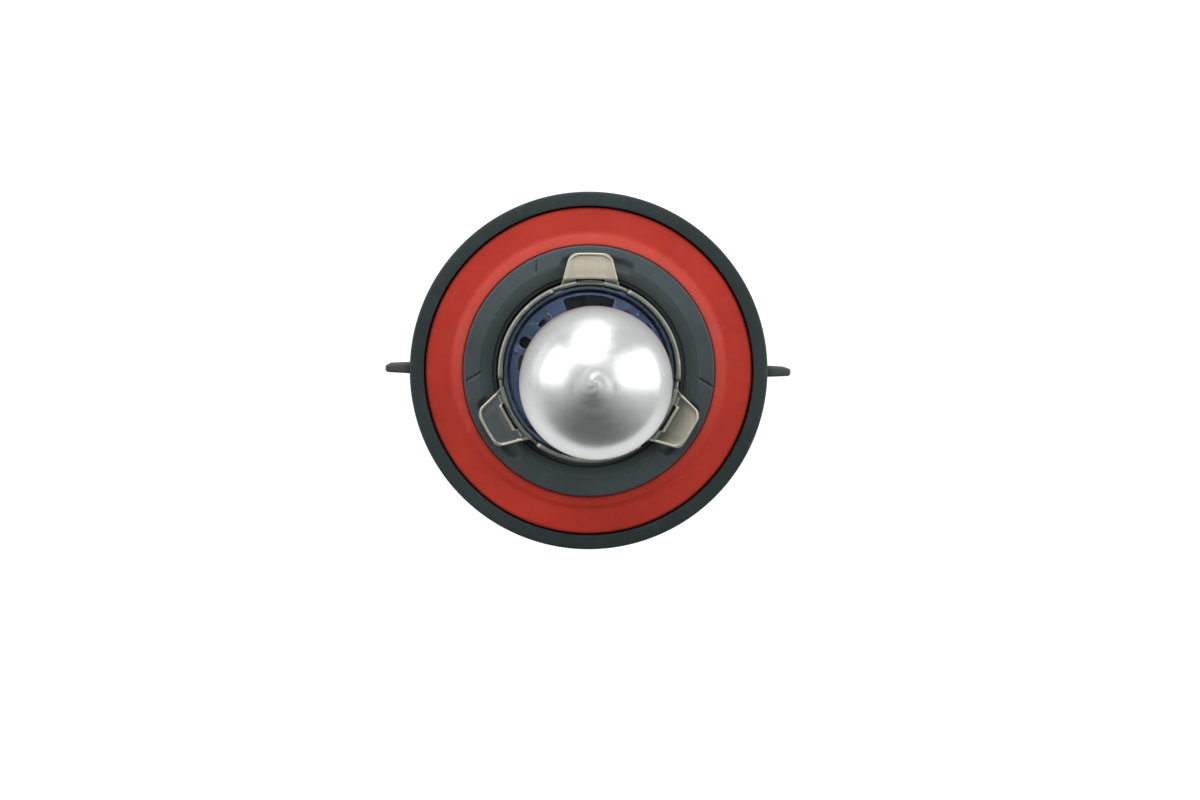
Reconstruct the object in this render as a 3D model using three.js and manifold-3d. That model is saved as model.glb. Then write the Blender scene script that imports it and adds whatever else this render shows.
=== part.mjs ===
// Headlight bulb with a three-tab prefocus ring, a keyed plastic holder, a face seal and a turning lock collar.
// Millimetres, +Z up along the lamp's axis. The origin is the centre of the connector rim, at the bottom.
// +Y points at the first tab of the prefocus ring, and the collar's two wings lie along X.

import * as THREE from 'three';
import { mergeVertices } from 'three/addons/utils/BufferGeometryUtils.js';
import Module from 'manifold-3d';

const wasm = await Module();
wasm.setup();

// ---------------------------------------------------------------- driving dimensions

const TAB_PLANE_Z = 36; // seating plane of the three tabs above the connector rim
const RING_SEGS = 48; // facets round the large turned pieces
const SMALL_SEGS = 32; // facets round the lamp's small turned pieces

// glass, heights from the tab plane
const GLASS_R = 8.5;
const GLASS_WALL = 1.1;
const GLASS_FOOT_Z = 5; // the straight tube ends here and curves in to the press seal
const GLASS_SHOULDER_Z = 36;
const GLASS_DOME_H = 8.1;
const GLASS_TIP_Z = 45;
const TIP_OFFSET = [-0.45, 0.35]; // the exhaust tip stands a little off the axis
const GLASS_MOUTH_R = 3.6;
const GLASS_MOUTH_Z = -0.9;

// press seal
const PINCH = { w: 11.2, t: 3.8, top: -1.2, bottom: -13 };
const LEAD_X = 2.8; // spacing of the leads in the press seal
const WIRE_R = 0.35;

// prefocus ring
const REF_RING_R = 11.5; // 23 mm reference diameter
const REF_RING_WALL = 0.65;
const RIM_Z = 0.9;
const REF_RING_BOTTOM = -8;
const TAB_ANGLES = [90, 210, 330];
const TAB_TIP_R = 14.95;
const TAB_TIP_W = 5.3;
const TAB_SLOT = { r0: 11.15, r1: 11.65, half: 1.85 }; // slot at the bend of each tab
const TAB_ROOT_W = 7.5;
const TAB_T = 0.7;
const TAB_DISH = 0.25; // the face lies this far below the raised edge

// retainer plate and sleeve
const PLATE_R = 10.7;
const PLATE_HOLE_R = 5.9;
const PLATE_TOP = -1.4;
const PLATE_T = 0.6;
const PLATE_RIM_Z = -0.9; // the plate's raised edge

// holder hub
const HUB_R = 15.75;
const HUB_FACE_Z = -1.8;
const HUB_BORE_R = 12.25;
const HUB_SLOPE_R = 13.6;
const HUB_SLOPE_Z = -3.3;
const HUB_LEDGE_R = 11.75; // a shelf in the bore, close round the ring
const HUB_LEDGE_Z = -3.8;
const HUB_SEAT_Z = -8.4;
const HUB_SEAT_R = 10.9;
const HUB_FLANGE_R = 20.2;
const HUB_FLANGE_TOP = -5.6;
const HUB_FLANGE_BOTTOM = -7.6;
const HUB_SKIRT_R = 16.6;
const HUB_BOTTOM = -13.1;
const POCKET_R = 14.6;
const POCKET_FLOOR = -3.2;
const POCKETS = [[66.8, 105], [195.4, 231.3], [312.4, 343]];

// face seal
const SEAL = { rIn: 15.95, rOut: 20.7, bottom: -5.3, face: -2.9, lip: -2.5, lipR: 17.4 };

// lock collar
const COLLAR_R = 22.7;
const COLLAR_BORE = 20.9;
const COLLAR_TOP = -2.4;
const COLLAR_BOTTOM = -15;
const LIP_R = 17;
const LIP_TOP = -7.9;
const LIP_BOTTOM = -10.4;
const WING_TIP_R = 26;
const WING_T = 1.1;
const WING_TOP = -6;
const WING_BOTTOM = -13.5;
const TWIST_DEG = 30; // travel of the collar
const STOP_ANGLES = [90, 270];
const STOP_HALF_DEG = 4;

// rear housing and connector, heights above the connector rim
const SHROUD = { w: 27, d: 15, wall: 1.4, corner: 2.6, top: 12.5 };
const BACK_FLOOR = [12.5, 14.5];
const CUP_R = 15.6;
const CUP_WALL = 2;
const BACK_FLANGE = { r: 20.2, bottom: 20.8, step: 22.6, top: 25.3, bore: 16.9 };
const BLADE = { w: 6.3, t: 0.8, pitch: 7, tip: 1.6 };
const CARRIER = { w: 19.6, d: 8, flangeW: 21.6, flangeD: 10 };

// ---------------------------------------------------------------- helpers

const rad = (deg) => (deg * Math.PI) / 180;
const polar = (r, deg) => [r * Math.cos(rad(deg)), r * Math.sin(rad(deg))];

// A closed three.js geometry as a solid, with its faces turned outwards.
function solid(geometry) {
  const g = geometry.clone();
  g.deleteAttribute('normal');
  g.deleteAttribute('uv');
  const m = mergeVertices(g, 1e-4);
  const p = m.attributes.position.array;
  const index = m.index.array;
  const tris = [];
  let volume = 0;
  for (let i = 0; i < index.length; i += 3) {
    const [a, b, c] = [index[i], index[i + 1], index[i + 2]];
    if (a === b || b === c || a === c) continue;
    tris.push(a, b, c);
    const [ax, ay, az, bx, by, bz, cx, cy, cz] = [a, b, c].flatMap((v) => [p[3 * v], p[3 * v + 1], p[3 * v + 2]]);
    volume += ax * (by * cz - bz * cy) + ay * (bz * cx - bx * cz) + az * (bx * cy - by * cx);
  }
  if (volume < 0) for (let i = 0; i < tris.length; i += 3) [tris[i], tris[i + 1]] = [tris[i + 1], tris[i]];
  return new wasm.Manifold(
    new wasm.Mesh({ numProp: 3, vertProperties: new Float32Array(p), triVerts: new Uint32Array(tris) })
  );
}

function geometryOf(whole) {
  // rounding can leave a sliver of no volume beside a cut, so the one real body is kept
  const body = whole.decompose().reduce((a, b) => (b.volume() > a.volume() ? b : a));
  const out = body.getMesh();
  const g = new THREE.BufferGeometry();
  const n = out.numProp;
  const points = new Float32Array((out.vertProperties.length / n) * 3);
  for (let i = 0; i < points.length / 3; i++) for (let k = 0; k < 3; k++) points[3 * i + k] = out.vertProperties[n * i + k];
  g.setAttribute('position', new THREE.BufferAttribute(points, 3));
  g.setIndex(new THREE.BufferAttribute(new Uint32Array(out.triVerts), 1));
  g.computeVertexNormals();
  return g;
}

// A turned body about Z from (radius, height) points. A profile off the axis closes on itself.
function turned(points, segments = RING_SEGS) {
  const onAxis = points[0][0] === 0 && points[points.length - 1][0] === 0;
  const profile = points.map(([r, z]) => new THREE.Vector2(r, z));
  if (!onAxis) profile.push(profile[0].clone());
  const g = new THREE.LatheGeometry(profile, segments);
  g.rotateX(Math.PI / 2);
  return solid(g);
}

function prism(shape, bottom, top, curveSegments = 6) {
  const g = new THREE.ExtrudeGeometry(shape, { depth: top - bottom, bevelEnabled: false, curveSegments });
  g.translate(0, 0, bottom);
  return solid(g);
}

function box(x0, x1, y0, y1, z0, z1) {
  const g = new THREE.BoxGeometry(x1 - x0, y1 - y0, z1 - z0);
  g.translate((x0 + x1) / 2, (y0 + y1) / 2, (z0 + z1) / 2);
  return solid(g);
}

function roundedRect(w, d, r) {
  const s = new THREE.Shape();
  const [x, y] = [w / 2, d / 2];
  s.moveTo(-x + r, -y);
  s.lineTo(x - r, -y);
  s.absarc(x - r, -y + r, r, -Math.PI / 2, 0);
  s.lineTo(x, y - r);
  s.absarc(x - r, y - r, r, 0, Math.PI / 2);
  s.lineTo(-x + r, y);
  s.absarc(-x + r, y - r, r, Math.PI / 2, Math.PI);
  s.lineTo(-x, -y + r);
  s.absarc(-x + r, -y + r, r, Math.PI, 1.5 * Math.PI);
  return s;
}

function sector(r0, r1, fromDeg, toDeg) {
  const s = new THREE.Shape();
  const steps = Math.max(2, Math.ceil((toDeg - fromDeg) / 6));
  for (let i = 0; i <= steps; i++) {
    const [x, y] = polar(r1, fromDeg + ((toDeg - fromDeg) * i) / steps);
    if (i === 0) s.moveTo(x, y);
    else s.lineTo(x, y);
  }
  for (let i = steps; i >= 0; i--) s.lineTo(...polar(r0, fromDeg + ((toDeg - fromDeg) * i) / steps));
  return s;
}

function circle(r, segments = 12, x = 0, y = 0) {
  const s = new THREE.Shape();
  for (let i = 0; i < segments; i++) {
    const a = (2 * Math.PI * i) / segments;
    if (i === 0) s.moveTo(x + r * Math.cos(a), y + r * Math.sin(a));
    else s.lineTo(x + r * Math.cos(a), y + r * Math.sin(a));
  }
  return s;
}

// A round wire along a path of points.
function wire(points, radius, steps, sides = 6) {
  const path = new THREE.CatmullRomCurve3(points.map((q) => new THREE.Vector3(...q)), false, 'centripetal');
  return solid(
    new THREE.ExtrudeGeometry(circle(radius, sides), { steps, bevelEnabled: false, extrudePath: path })
  );
}

function coil({ radius, wireR, turns, z0, z1, y = 0, perTurn = 8 }) {
  const points = [[0, y, z0 - 0.9], [0, y, z0 - 0.45]];
  const total = turns * perTurn;
  for (let i = 0; i <= total; i++) {
    const a = (2 * Math.PI * i) / perTurn;
    const grow = Math.min(1, i / 4, (total - i) / 4);
    points.push([radius * grow * Math.cos(a), y + radius * grow * Math.sin(a), z0 + ((z1 - z0) * i) / total]);
  }
  points.push([0, y, z1 + 0.45], [0, y, z1 + 0.9]);
  return wire(points, wireR, total + 6, 4);
}

function material(color, roughness, metalness, opacity = 1) {
  return new THREE.MeshStandardMaterial({ color, roughness, metalness, opacity, transparent: opacity < 1 });
}

function piece(name, body, mat) {
  const mesh = new THREE.Mesh(geometryOf(body), mat);
  mesh.name = name;
  return mesh;
}

const mats = {
  glass: () => material(0xc9d2d6, 0.05, 0, 0.4),
  tungsten: () => material(0x6b6f72, 0.45, 1),
  molybdenum: () => material(0x8e9093, 0.4, 1),
  steel: () => material(0x9a9c98, 0.35, 1),
  plated: () => material(0x979a90, 0.4, 1),
  blued: () => material(0x40506a, 0.4, 0.8),
  hub: () => material(0x434b4e, 0.55, 0),
  collar: () => material(0x333c3b, 0.6, 0),
  seal: () => material(0xae3a2d, 0.7, 0),
  housing: () => material(0x30373a, 0.6, 0),
  carrier: () => material(0x4a4f52, 0.6, 0),
  tin: () => material(0xb6b5ae, 0.35, 1),
};

// ---------------------------------------------------------------- lamp, heights from the tab plane

const lamp = new THREE.Group();
lamp.position.z = TAB_PLANE_Z;

function glassEnvelope() {
  const outer = [];
  const inner = [];
  // foot: the tube curves in to the mouth above the press seal
  const footSteps = 5;
  const rMouthOut = GLASS_MOUTH_R + GLASS_WALL;
  for (let i = 0; i <= footSteps; i++) {
    const t = rad((90 * i) / footSteps);
    outer.push([rMouthOut + (GLASS_R - rMouthOut) * Math.sin(t), GLASS_MOUTH_Z + (GLASS_FOOT_Z - GLASS_MOUTH_Z) * (1 - Math.cos(t))]);
    inner.push([
      GLASS_MOUTH_R + (GLASS_R - GLASS_WALL - GLASS_MOUTH_R) * Math.sin(t),
      GLASS_MOUTH_Z + (GLASS_FOOT_Z + 0.6 - GLASS_MOUTH_Z) * (1 - Math.cos(t)),
    ]);
  }
  // dome
  const domeSteps = 8;
  for (let i = 0; i < domeSteps; i++) {
    const t = rad((76 * i) / (domeSteps - 1));
    outer.push([GLASS_R * Math.cos(t), GLASS_SHOULDER_Z + GLASS_DOME_H * Math.sin(t)]);
  }
  // a shallow dip round the exhaust tip
  outer.push([1.55, 43.72], [1.15, 43.84], [0.98, 44.2], [0.7, 44.72], [0, GLASS_TIP_Z]);
  for (let i = 0; i <= domeSteps - 1; i++) {
    const t = rad((90 * i) / (domeSteps - 1));
    const r = i === domeSteps - 1 ? 0 : (GLASS_R - GLASS_WALL) * Math.cos(t);
    inner.push([r, GLASS_SHOULDER_Z + (GLASS_DOME_H - GLASS_WALL) * Math.sin(t)]);
  }
  // from the top of the outside, down to the mouth, and up inside to the axis again
  const profile = [...outer.reverse(), ...inner];
  const g = new THREE.LatheGeometry(profile.map(([r, z]) => new THREE.Vector2(r, z)), SMALL_SEGS);
  g.rotateX(Math.PI / 2);
  const p = g.attributes.position;
  for (let i = 0; i < p.count; i++) {
    const z = p.getZ(i);
    const w = THREE.MathUtils.smoothstep(z, 41.5, 44);
    p.setX(i, p.getX(i) + TIP_OFFSET[0] * w);
    p.setY(i, p.getY(i) + TIP_OFFSET[1] * w);
  }
  return solid(g);
}
lamp.add(piece('glass_envelope', glassEnvelope(), mats.glass()));

// Press seal with a slot for each foil and lead.
let pinch = prism(roundedRect(PINCH.w, PINCH.t, 1.2), PINCH.bottom, PINCH.top, 3);
pinch = pinch.add(box(-PINCH.w / 2 - 0.5, PINCH.w / 2 + 0.5, -0.9, 0.9, -11.8, -10.6));
for (const x of [-LEAD_X, 0, LEAD_X]) {
  pinch = pinch.subtract(box(x - 1.15, x + 1.15, -0.7, 0.7, PINCH.bottom - 1, PINCH.top + 1));
}
lamp.add(piece('glass_pinch', pinch, mats.glass()));

const names = [['main', -LEAD_X], ['common', 0], ['daytime', LEAD_X]];
for (const [name, x] of names) {
  const foil = piece(`${name}_foil`, box(-0.9, 0.9, -0.06, 0.06, -10.2, -4.6), mats.molybdenum());
  foil.position.x = x;
  lamp.add(foil);
}

// Outer leads from the foils to the connector blades.
const BLADE_X = { main: -BLADE.pitch, common: 0, daytime: BLADE.pitch };
const OUTER_END_Z = 15.6 - TAB_PLANE_Z;
for (const [name, x] of names) {
  const side = Math.sign(x);
  const endX = name === 'common' ? 0.95 : BLADE_X[name] - side * 0.95;
  const points = [
    [x, 0, -10.5],
    [x, 0, -12],
    [x, 0, -14],
    [x + (endX - x) * 0.5, 0, -15.6],
    [endX, 0, -17.3],
    [endX, 0, -18.8],
    [endX, 0, OUTER_END_Z],
  ];
  lamp.add(piece(`${name}_outer_lead`, wire(points, WIRE_R + 0.05, 10, 6), mats.molybdenum()));
}

// Filaments: coils along the lamp's axis.
lamp.add(piece('main_beam_filament', coil({ radius: 0.75, wireR: 0.13, turns: 9, z0: 26.5, z1: 31.3 }), mats.tungsten()));
lamp.add(piece('daytime_filament', coil({ radius: 0.6, wireR: 0.12, turns: 9, z0: 15.6, z1: 20, y: 0.5 }), mats.tungsten()));

// Shield: a half trough below the lower filament, closed at its front end.
const trough = new THREE.Shape();
for (let i = 0; i <= 8; i++) {
  const [px, py] = polar(3.1, 180 + (180 * i) / 8);
  if (i === 0) trough.moveTo(px, py);
  else trough.lineTo(px, py);
}
for (let i = 8; i >= 0; i--) trough.lineTo(...polar(2.75, 180 + (180 * i) / 8));
const cap = new THREE.Shape();
for (let i = 0; i <= 8; i++) {
  const [px, py] = polar(3.1, 180 + (180 * i) / 8);
  if (i === 0) cap.moveTo(px, py);
  else cap.lineTo(px, py);
}
lamp.add(piece('filament_shield', prism(trough, 13.6, 22.4).add(prism(cap, 22, 22.4)), mats.molybdenum()));

// Support wires inside the glass.
lamp.add(
  piece(
    'main_support_wire',
    wire([[-LEAD_X, 0, -4.2], [-LEAD_X, 0, -1], [-3.2, 0.4, 3], [-4.6, 1, 10], [-4.6, 1, 20], [-3.6, 0.8, 24], [-1.2, 0.3, 25.2], [-0.55, 0.1, 25.4]], WIRE_R, 24),
    mats.molybdenum()
  )
);
lamp.add(
  piece(
    'daytime_support_wire',
    wire([[LEAD_X, 0, -4.2], [LEAD_X, 0, -1], [2.6, 0.3, 4], [1.9, 0.5, 10], [1.4, 0.5, 13], [0.55, 0.5, 14.4]], WIRE_R, 16),
    mats.molybdenum()
  )
);
lamp.add(
  piece(
    'common_support_wire',
    wire([[0, 0, -4.2], [0, 0, -1], [0, -1, 2], [0, -3.4, 7.5], [0, -3.75, 11], [0, -3.75, 24], [0, -3.75, 30], [0, -3.1, 32.6], [0, -1.2, 33.3], [0, -0.55, 33.3]], WIRE_R, 26),
    mats.molybdenum()
  )
);

// Prefocus ring: a short turned wall with three tabs bent out of it.
function tabShape(inset = 0) {
  const s = new THREE.Shape();
  const [tip, root, outR, inR] = [TAB_TIP_W / 2 - inset, TAB_ROOT_W / 2 - inset, TAB_TIP_R - inset, inset ? REF_RING_R + 0.65 : 10];
  const c = 0.8 - inset * 0.5;
  s.moveTo(inR, -root);
  s.lineTo(outR - c, -tip - c * 0.25);
  s.lineTo(outR - c * 0.3, -tip + c * 0.3);
  s.lineTo(outR, -tip + c);
  s.lineTo(outR, tip - c);
  s.lineTo(outR - c * 0.3, tip - c * 0.3);
  s.lineTo(outR - c, tip + c * 0.25);
  s.lineTo(inR, root);
  return s;
}
function prefocusRing() {
  const rIn = REF_RING_R - REF_RING_WALL;
  let ring = turned([[rIn, REF_RING_BOTTOM], [REF_RING_R, REF_RING_BOTTOM], [REF_RING_R, RIM_Z - 0.15], [REF_RING_R - 0.15, RIM_Z], [rIn, RIM_Z]]);
  for (const angle of TAB_ANGLES) {
    // the wall is lower across the tab, with a relief notch on each side of it
    ring = ring.subtract(prism(sector(9.5, 12.5, angle - 20, angle + 20), -0.12, 3));
    ring = ring.subtract(prism(sector(9.5, 12.5, angle - 24.5, angle - 19.5), -1.6, 3));
    ring = ring.subtract(prism(sector(9.5, 12.5, angle + 19.5, angle + 24.5), -1.6, 3));
    let tab = prism(tabShape(), -TAB_T, 0);
    tab = tab.subtract(prism(tabShape(0.42), -TAB_DISH, 1));
    tab = tab.subtract(prism(circle(REF_RING_R - 0.4, RING_SEGS), -2, 1));
    ring = ring.add(tab.rotate([0, 0, angle]));
    ring = ring.subtract(box(TAB_SLOT.r0, TAB_SLOT.r1, -TAB_SLOT.half, TAB_SLOT.half, -1.3, 2).rotate([0, 0, angle]));
  }
  return ring;
}
lamp.add(piece('prefocus_ring', prefocusRing(), mats.plated()));

// Retainer plate round the foot of the glass, with punched windows and holes.
function retainer() {
  const bottom = PLATE_TOP - PLATE_T;
  let plate = turned(
    [
      [PLATE_HOLE_R, bottom], [PLATE_R - PLATE_T, bottom], [PLATE_R - PLATE_T, bottom - 2.4], [PLATE_R, bottom - 2.4],
      [PLATE_R, PLATE_RIM_Z - 0.2], [PLATE_R - 0.2, PLATE_RIM_Z], [PLATE_R - 0.45, PLATE_RIM_Z], [PLATE_R - 0.65, PLATE_TOP], [PLATE_HOLE_R, PLATE_TOP],
    ],
    48
  );
  for (const angle of TAB_ANGLES) plate = plate.subtract(prism(sector(7.4, angle === 90 ? 9.55 : 9, angle - 19.5, angle + 20.5), -4, 0));
  const hole = (r, deg, size) => prism(circle(size, 10, ...polar(r, deg)), -4, 0);
  for (const deg of [156.5, 276.5, 36.5]) plate = plate.subtract(hole(8.85, deg, 0.7));
  for (const deg of [135, 255, 15]) plate = plate.subtract(prism(sector(7.9, 8.7, deg - 3.5, deg + 3.5), -4, 0));
  for (const deg of [174, 294, 54]) plate = plate.subtract(prism(sector(7.9, 8.9, deg - 6.5, deg + 6.5), -4, 0));
  return plate;
}
lamp.add(piece('capsule_retainer', retainer(), mats.blued()));

// Sleeve: a metal cup below the plate, open at the top, with a slot for the press seal.
let sleeve = turned([[3.4, -13.9], [10.5, -13.9], [10.5, -4.7], [9.95, -4.7], [9.95, -13.3], [3.4, -13.3]], 48);
sleeve = sleeve.subtract(box(-6.4, 6.4, -2.4, 2.4, -15, -12));
lamp.add(piece('base_sleeve', sleeve, mats.steel()));

// Spring clip round the press seal, with two feet on the sleeve's floor.
let clip = prism(roundedRect(13.4, 5.6, 1.6), -13, -7.4, 3).subtract(prism(roundedRect(12.6, 4.8, 1.3), -14, -6, 3));
clip = clip.add(box(6.5, 9, -1.6, 1.6, -13, -12.6)).add(box(-9, -6.5, -1.6, 1.6, -13, -12.6));
lamp.add(piece('pinch_clip', clip, mats.steel()));

// ---------------------------------------------------------------- holder, heights from the tab plane

const holder = new THREE.Group();
holder.position.z = TAB_PLANE_Z;

function hubBody() {
  let hub = turned([
    [HUB_SEAT_R, HUB_BOTTOM],
    [HUB_SKIRT_R, HUB_BOTTOM],
    [HUB_SKIRT_R, HUB_FLANGE_BOTTOM],
    [HUB_FLANGE_R, HUB_FLANGE_BOTTOM],
    [HUB_FLANGE_R, HUB_FLANGE_TOP],
    [HUB_R, HUB_FLANGE_TOP],
    [HUB_R, HUB_FACE_Z - 0.3],
    [HUB_R - 0.3, HUB_FACE_Z],
    [HUB_SLOPE_R, HUB_FACE_Z],
    [HUB_BORE_R, HUB_SLOPE_Z],
    [HUB_BORE_R, HUB_LEDGE_Z],
    [HUB_LEDGE_R, HUB_LEDGE_Z],
    [HUB_LEDGE_R, HUB_SEAT_Z],
    [HUB_SEAT_R, HUB_SEAT_Z],
  ]);
  for (const [from, to] of POCKETS) hub = hub.subtract(prism(sector(HUB_BORE_R - 0.4, POCKET_R, from, to), POCKET_FLOOR, 0));
  // stop lugs that run in the collar's slots
  for (const angle of STOP_ANGLES) {
    hub = hub.add(prism(sector(17.9, 19.5, angle - STOP_HALF_DEG, angle + STOP_HALF_DEG), LIP_BOTTOM + 0.2, HUB_FLANGE_BOTTOM + 0.5));
  }
  // fine parting grooves across the front face
  const groove = (r0, a0, r1, a1) => {
    const [x0, y0] = polar(r0, a0);
    const [x1, y1] = polar(r1, a1);
    const [dx, dy] = [x1 - x0, y1 - y0];
    const n = 0.13 / Math.hypot(dx, dy);
    const s = new THREE.Shape();
    s.moveTo(x0 - dy * n, y0 + dx * n);
    s.lineTo(x0 + dy * n, y0 - dx * n);
    s.lineTo(x1 + dy * n, y1 - dx * n);
    s.lineTo(x1 - dy * n, y1 + dx * n);
    return prism(s, HUB_FACE_Z - 0.3, 0);
  };
  hub = hub.subtract(groove(13.6, 181, 15.9, 185.6)).subtract(groove(13.8, -2.8, 15.9, -6.7));
  return hub;
}
holder.add(piece('holder_hub', hubBody(), mats.hub()));

holder.add(
  piece(
    'face_seal',
    turned([
      [SEAL.rIn, SEAL.bottom],
      [SEAL.rOut, SEAL.bottom],
      [SEAL.rOut, SEAL.face - 0.3],
      [SEAL.rOut - 0.3, SEAL.face],
      [SEAL.lipR, SEAL.face],
      [SEAL.rIn + 0.25, SEAL.lip],
      [SEAL.rIn, SEAL.lip - 0.1],
    ]),
    mats.seal()
  )
);

function collarBody() {
  let collar = turned([
    [COLLAR_BORE, COLLAR_BOTTOM],
    [COLLAR_R - 0.4, COLLAR_BOTTOM],
    [COLLAR_R, COLLAR_BOTTOM + 0.4],
    [COLLAR_R, COLLAR_TOP - 0.35],
    [COLLAR_R - 0.35, COLLAR_TOP],
    [COLLAR_BORE + 0.25, COLLAR_TOP],
    [COLLAR_BORE, COLLAR_TOP - 0.25],
    [COLLAR_BORE, LIP_TOP],
    [LIP_R, LIP_TOP],
    [LIP_R, LIP_BOTTOM],
    [COLLAR_BORE, LIP_BOTTOM],
  ]);
  // a slot for each stop lug, as long as the collar's travel
  for (const angle of STOP_ANGLES) {
    const play = STOP_HALF_DEG + 0.8;
    collar = collar.subtract(prism(sector(17.6, 19.9, angle - TWIST_DEG - play, angle + play), LIP_BOTTOM - 1, LIP_TOP + 0.05));
  }
  // wings: thin radial bars, a little thicker at the root, with a round tip
  const fin = new THREE.Shape();
  const h = WING_T / 2;
  fin.moveTo(22, -h - 0.1);
  fin.lineTo(WING_TIP_R - h + 0.03, -h + 0.03);
  fin.absarc(WING_TIP_R - h + 0.03, 0, h - 0.03, -Math.PI / 2, Math.PI / 2);
  fin.lineTo(22, h + 0.1);
  const wing = prism(fin, WING_BOTTOM, WING_TOP, 6);
  return collar.add(wing).add(wing.rotate([0, 0, 180]));
}
holder.add(piece('lock_collar', collarBody(), mats.collar()));

// ---------------------------------------------------------------- rear housing and connector, heights from the connector rim

const rear = new THREE.Group();

function housingBody() {
  let body = turned([
    [0, BACK_FLOOR[0]],
    [CUP_R - 0.6, BACK_FLOOR[0]],
    [CUP_R, BACK_FLOOR[0] + 0.6],
    [CUP_R, BACK_FLANGE.bottom],
    [BACK_FLANGE.r - 0.5, BACK_FLANGE.bottom],
    [BACK_FLANGE.r, BACK_FLANGE.bottom + 0.5],
    [BACK_FLANGE.r, BACK_FLANGE.top],
    [BACK_FLANGE.bore, BACK_FLANGE.top],
    [BACK_FLANGE.bore, BACK_FLANGE.step],
    [CUP_R - CUP_WALL, BACK_FLANGE.step],
    [CUP_R - CUP_WALL, BACK_FLOOR[1]],
    [0, BACK_FLOOR[1]],
  ]);
  // stiffening ribs under the flange
  for (let i = 0; i < 8; i++) {
    const s = new THREE.Shape();
    s.moveTo(CUP_R - 0.4, 15.2);
    s.lineTo(CUP_R + 0.3, 15.2);
    s.lineTo(19.2, 20.6);
    s.lineTo(19.2, 21.2);
    s.lineTo(CUP_R - 0.4, 21.2);
    const g = new THREE.ExtrudeGeometry(s, { depth: 1.1, bevelEnabled: false });
    g.translate(0, 0, -0.55);
    g.rotateX(Math.PI / 2);
    g.rotateZ(rad(22.5 + 45 * i));
    body = body.add(solid(g));
  }
  // connector shroud
  const outer = prism(roundedRect(SHROUD.w, SHROUD.d, SHROUD.corner), 0, SHROUD.top + 0.5, 4);
  const inner = prism(roundedRect(SHROUD.w - 2 * SHROUD.wall, SHROUD.d - 2 * SHROUD.wall, SHROUD.corner - SHROUD.wall), -1, SHROUD.top, 4);
  body = body.add(outer).subtract(inner);
  // seat for the terminal carrier
  body = body.subtract(box(-CARRIER.w / 2 - 0.3, CARRIER.w / 2 + 0.3, -CARRIER.d / 2 - 0.3, CARRIER.d / 2 + 0.3, 11, 16));
  // latch ramp on one long side, two keying ribs on the other
  const ramp = new THREE.Shape();
  ramp.moveTo(SHROUD.d / 2 - 0.3, 2.2);
  ramp.lineTo(SHROUD.d / 2, 2.2);
  ramp.lineTo(SHROUD.d / 2 + 1.5, 5.2);
  ramp.lineTo(SHROUD.d / 2 + 1.5, 6);
  ramp.lineTo(SHROUD.d / 2 - 0.3, 6);
  const rampGeo = new THREE.ExtrudeGeometry(ramp, { depth: 6, bevelEnabled: false });
  // (y, z) in the shape's plane, 6 mm along X
  rampGeo.applyMatrix4(new THREE.Matrix4().set(0, 0, 1, -3, 1, 0, 0, 0, 0, 1, 0, 0, 0, 0, 0, 1));
  body = body.add(solid(rampGeo));
  for (const x of [-7.5, 7.5]) body = body.add(box(x - 0.6, x + 0.6, -SHROUD.d / 2 - 1, -SHROUD.d / 2 + 0.3, 1.2, 12.8));
  return body;
}
rear.add(piece('rear_housing', housingBody(), mats.housing()));

let carrier = box(-CARRIER.w / 2, CARRIER.w / 2, -CARRIER.d / 2, CARRIER.d / 2, 12.5, 15.2);
carrier = carrier.add(box(-CARRIER.flangeW / 2, CARRIER.flangeW / 2, -CARRIER.flangeD / 2, CARRIER.flangeD / 2, 14.8, 15.9));
for (const x of [-BLADE.pitch, 0, BLADE.pitch]) {
  carrier = carrier.subtract(box(x - BLADE.t / 2 - 0.3, x + BLADE.t / 2 + 0.3, -BLADE.w / 2 - 0.3, BLADE.w / 2 + 0.3, 11, 17));
  const toLead = x === 0 ? 0.95 : x - Math.sign(x) * 0.95;
  carrier = carrier.subtract(box(toLead - 0.75, toLead + 0.75, -0.75, 0.75, 15, 17));
}
rear.add(piece('terminal_carrier', carrier, mats.carrier()));

// Blades: a chamfered tip, a full-width body, and a narrow tail that the lead is welded to.
function blade() {
  const h = BLADE.w / 2;
  const s = new THREE.Shape();
  s.moveTo(-h + 1, BLADE.tip);
  s.lineTo(h - 1, BLADE.tip);
  s.lineTo(h, BLADE.tip + 1.4);
  s.lineTo(h, 16.4);
  s.lineTo(1.4, 17.2);
  s.lineTo(1.4, 19);
  s.lineTo(-1.4, 19);
  s.lineTo(-1.4, 17.2);
  s.lineTo(-h, 16.4);
  s.lineTo(-h, BLADE.tip + 1.4);
  const hole = new THREE.Path();
  for (let i = 0; i < 10; i++) {
    const a = (2 * Math.PI * i) / 10;
    if (i === 0) hole.moveTo(0.8, 6.4);
    else hole.lineTo(0.8 * Math.cos(a), 6.4 + 0.8 * Math.sin(a));
  }
  s.holes.push(hole);
  const g = new THREE.ExtrudeGeometry(s, { depth: BLADE.t, bevelEnabled: false });
  // (y, z) in the shape's plane, its thickness along X
  g.applyMatrix4(new THREE.Matrix4().set(0, 0, 1, -BLADE.t / 2, 1, 0, 0, 0, 0, 1, 0, 0, 0, 0, 0, 1));
  return solid(g);
}
for (const [name, x] of Object.entries(BLADE_X)) {
  const terminal = piece(`${name}_terminal`, blade(), mats.tin());
  terminal.position.x = x;
  rear.add(terminal);
}

const bulb = new THREE.Group();
bulb.add(lamp, holder, rear);
export default bulb;
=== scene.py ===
# Headlight bulb: the looks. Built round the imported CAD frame, in metres, in the same frame.
import math

import bmesh
import bpy
from mathutils import Euler, Matrix, Vector, noise


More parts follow.
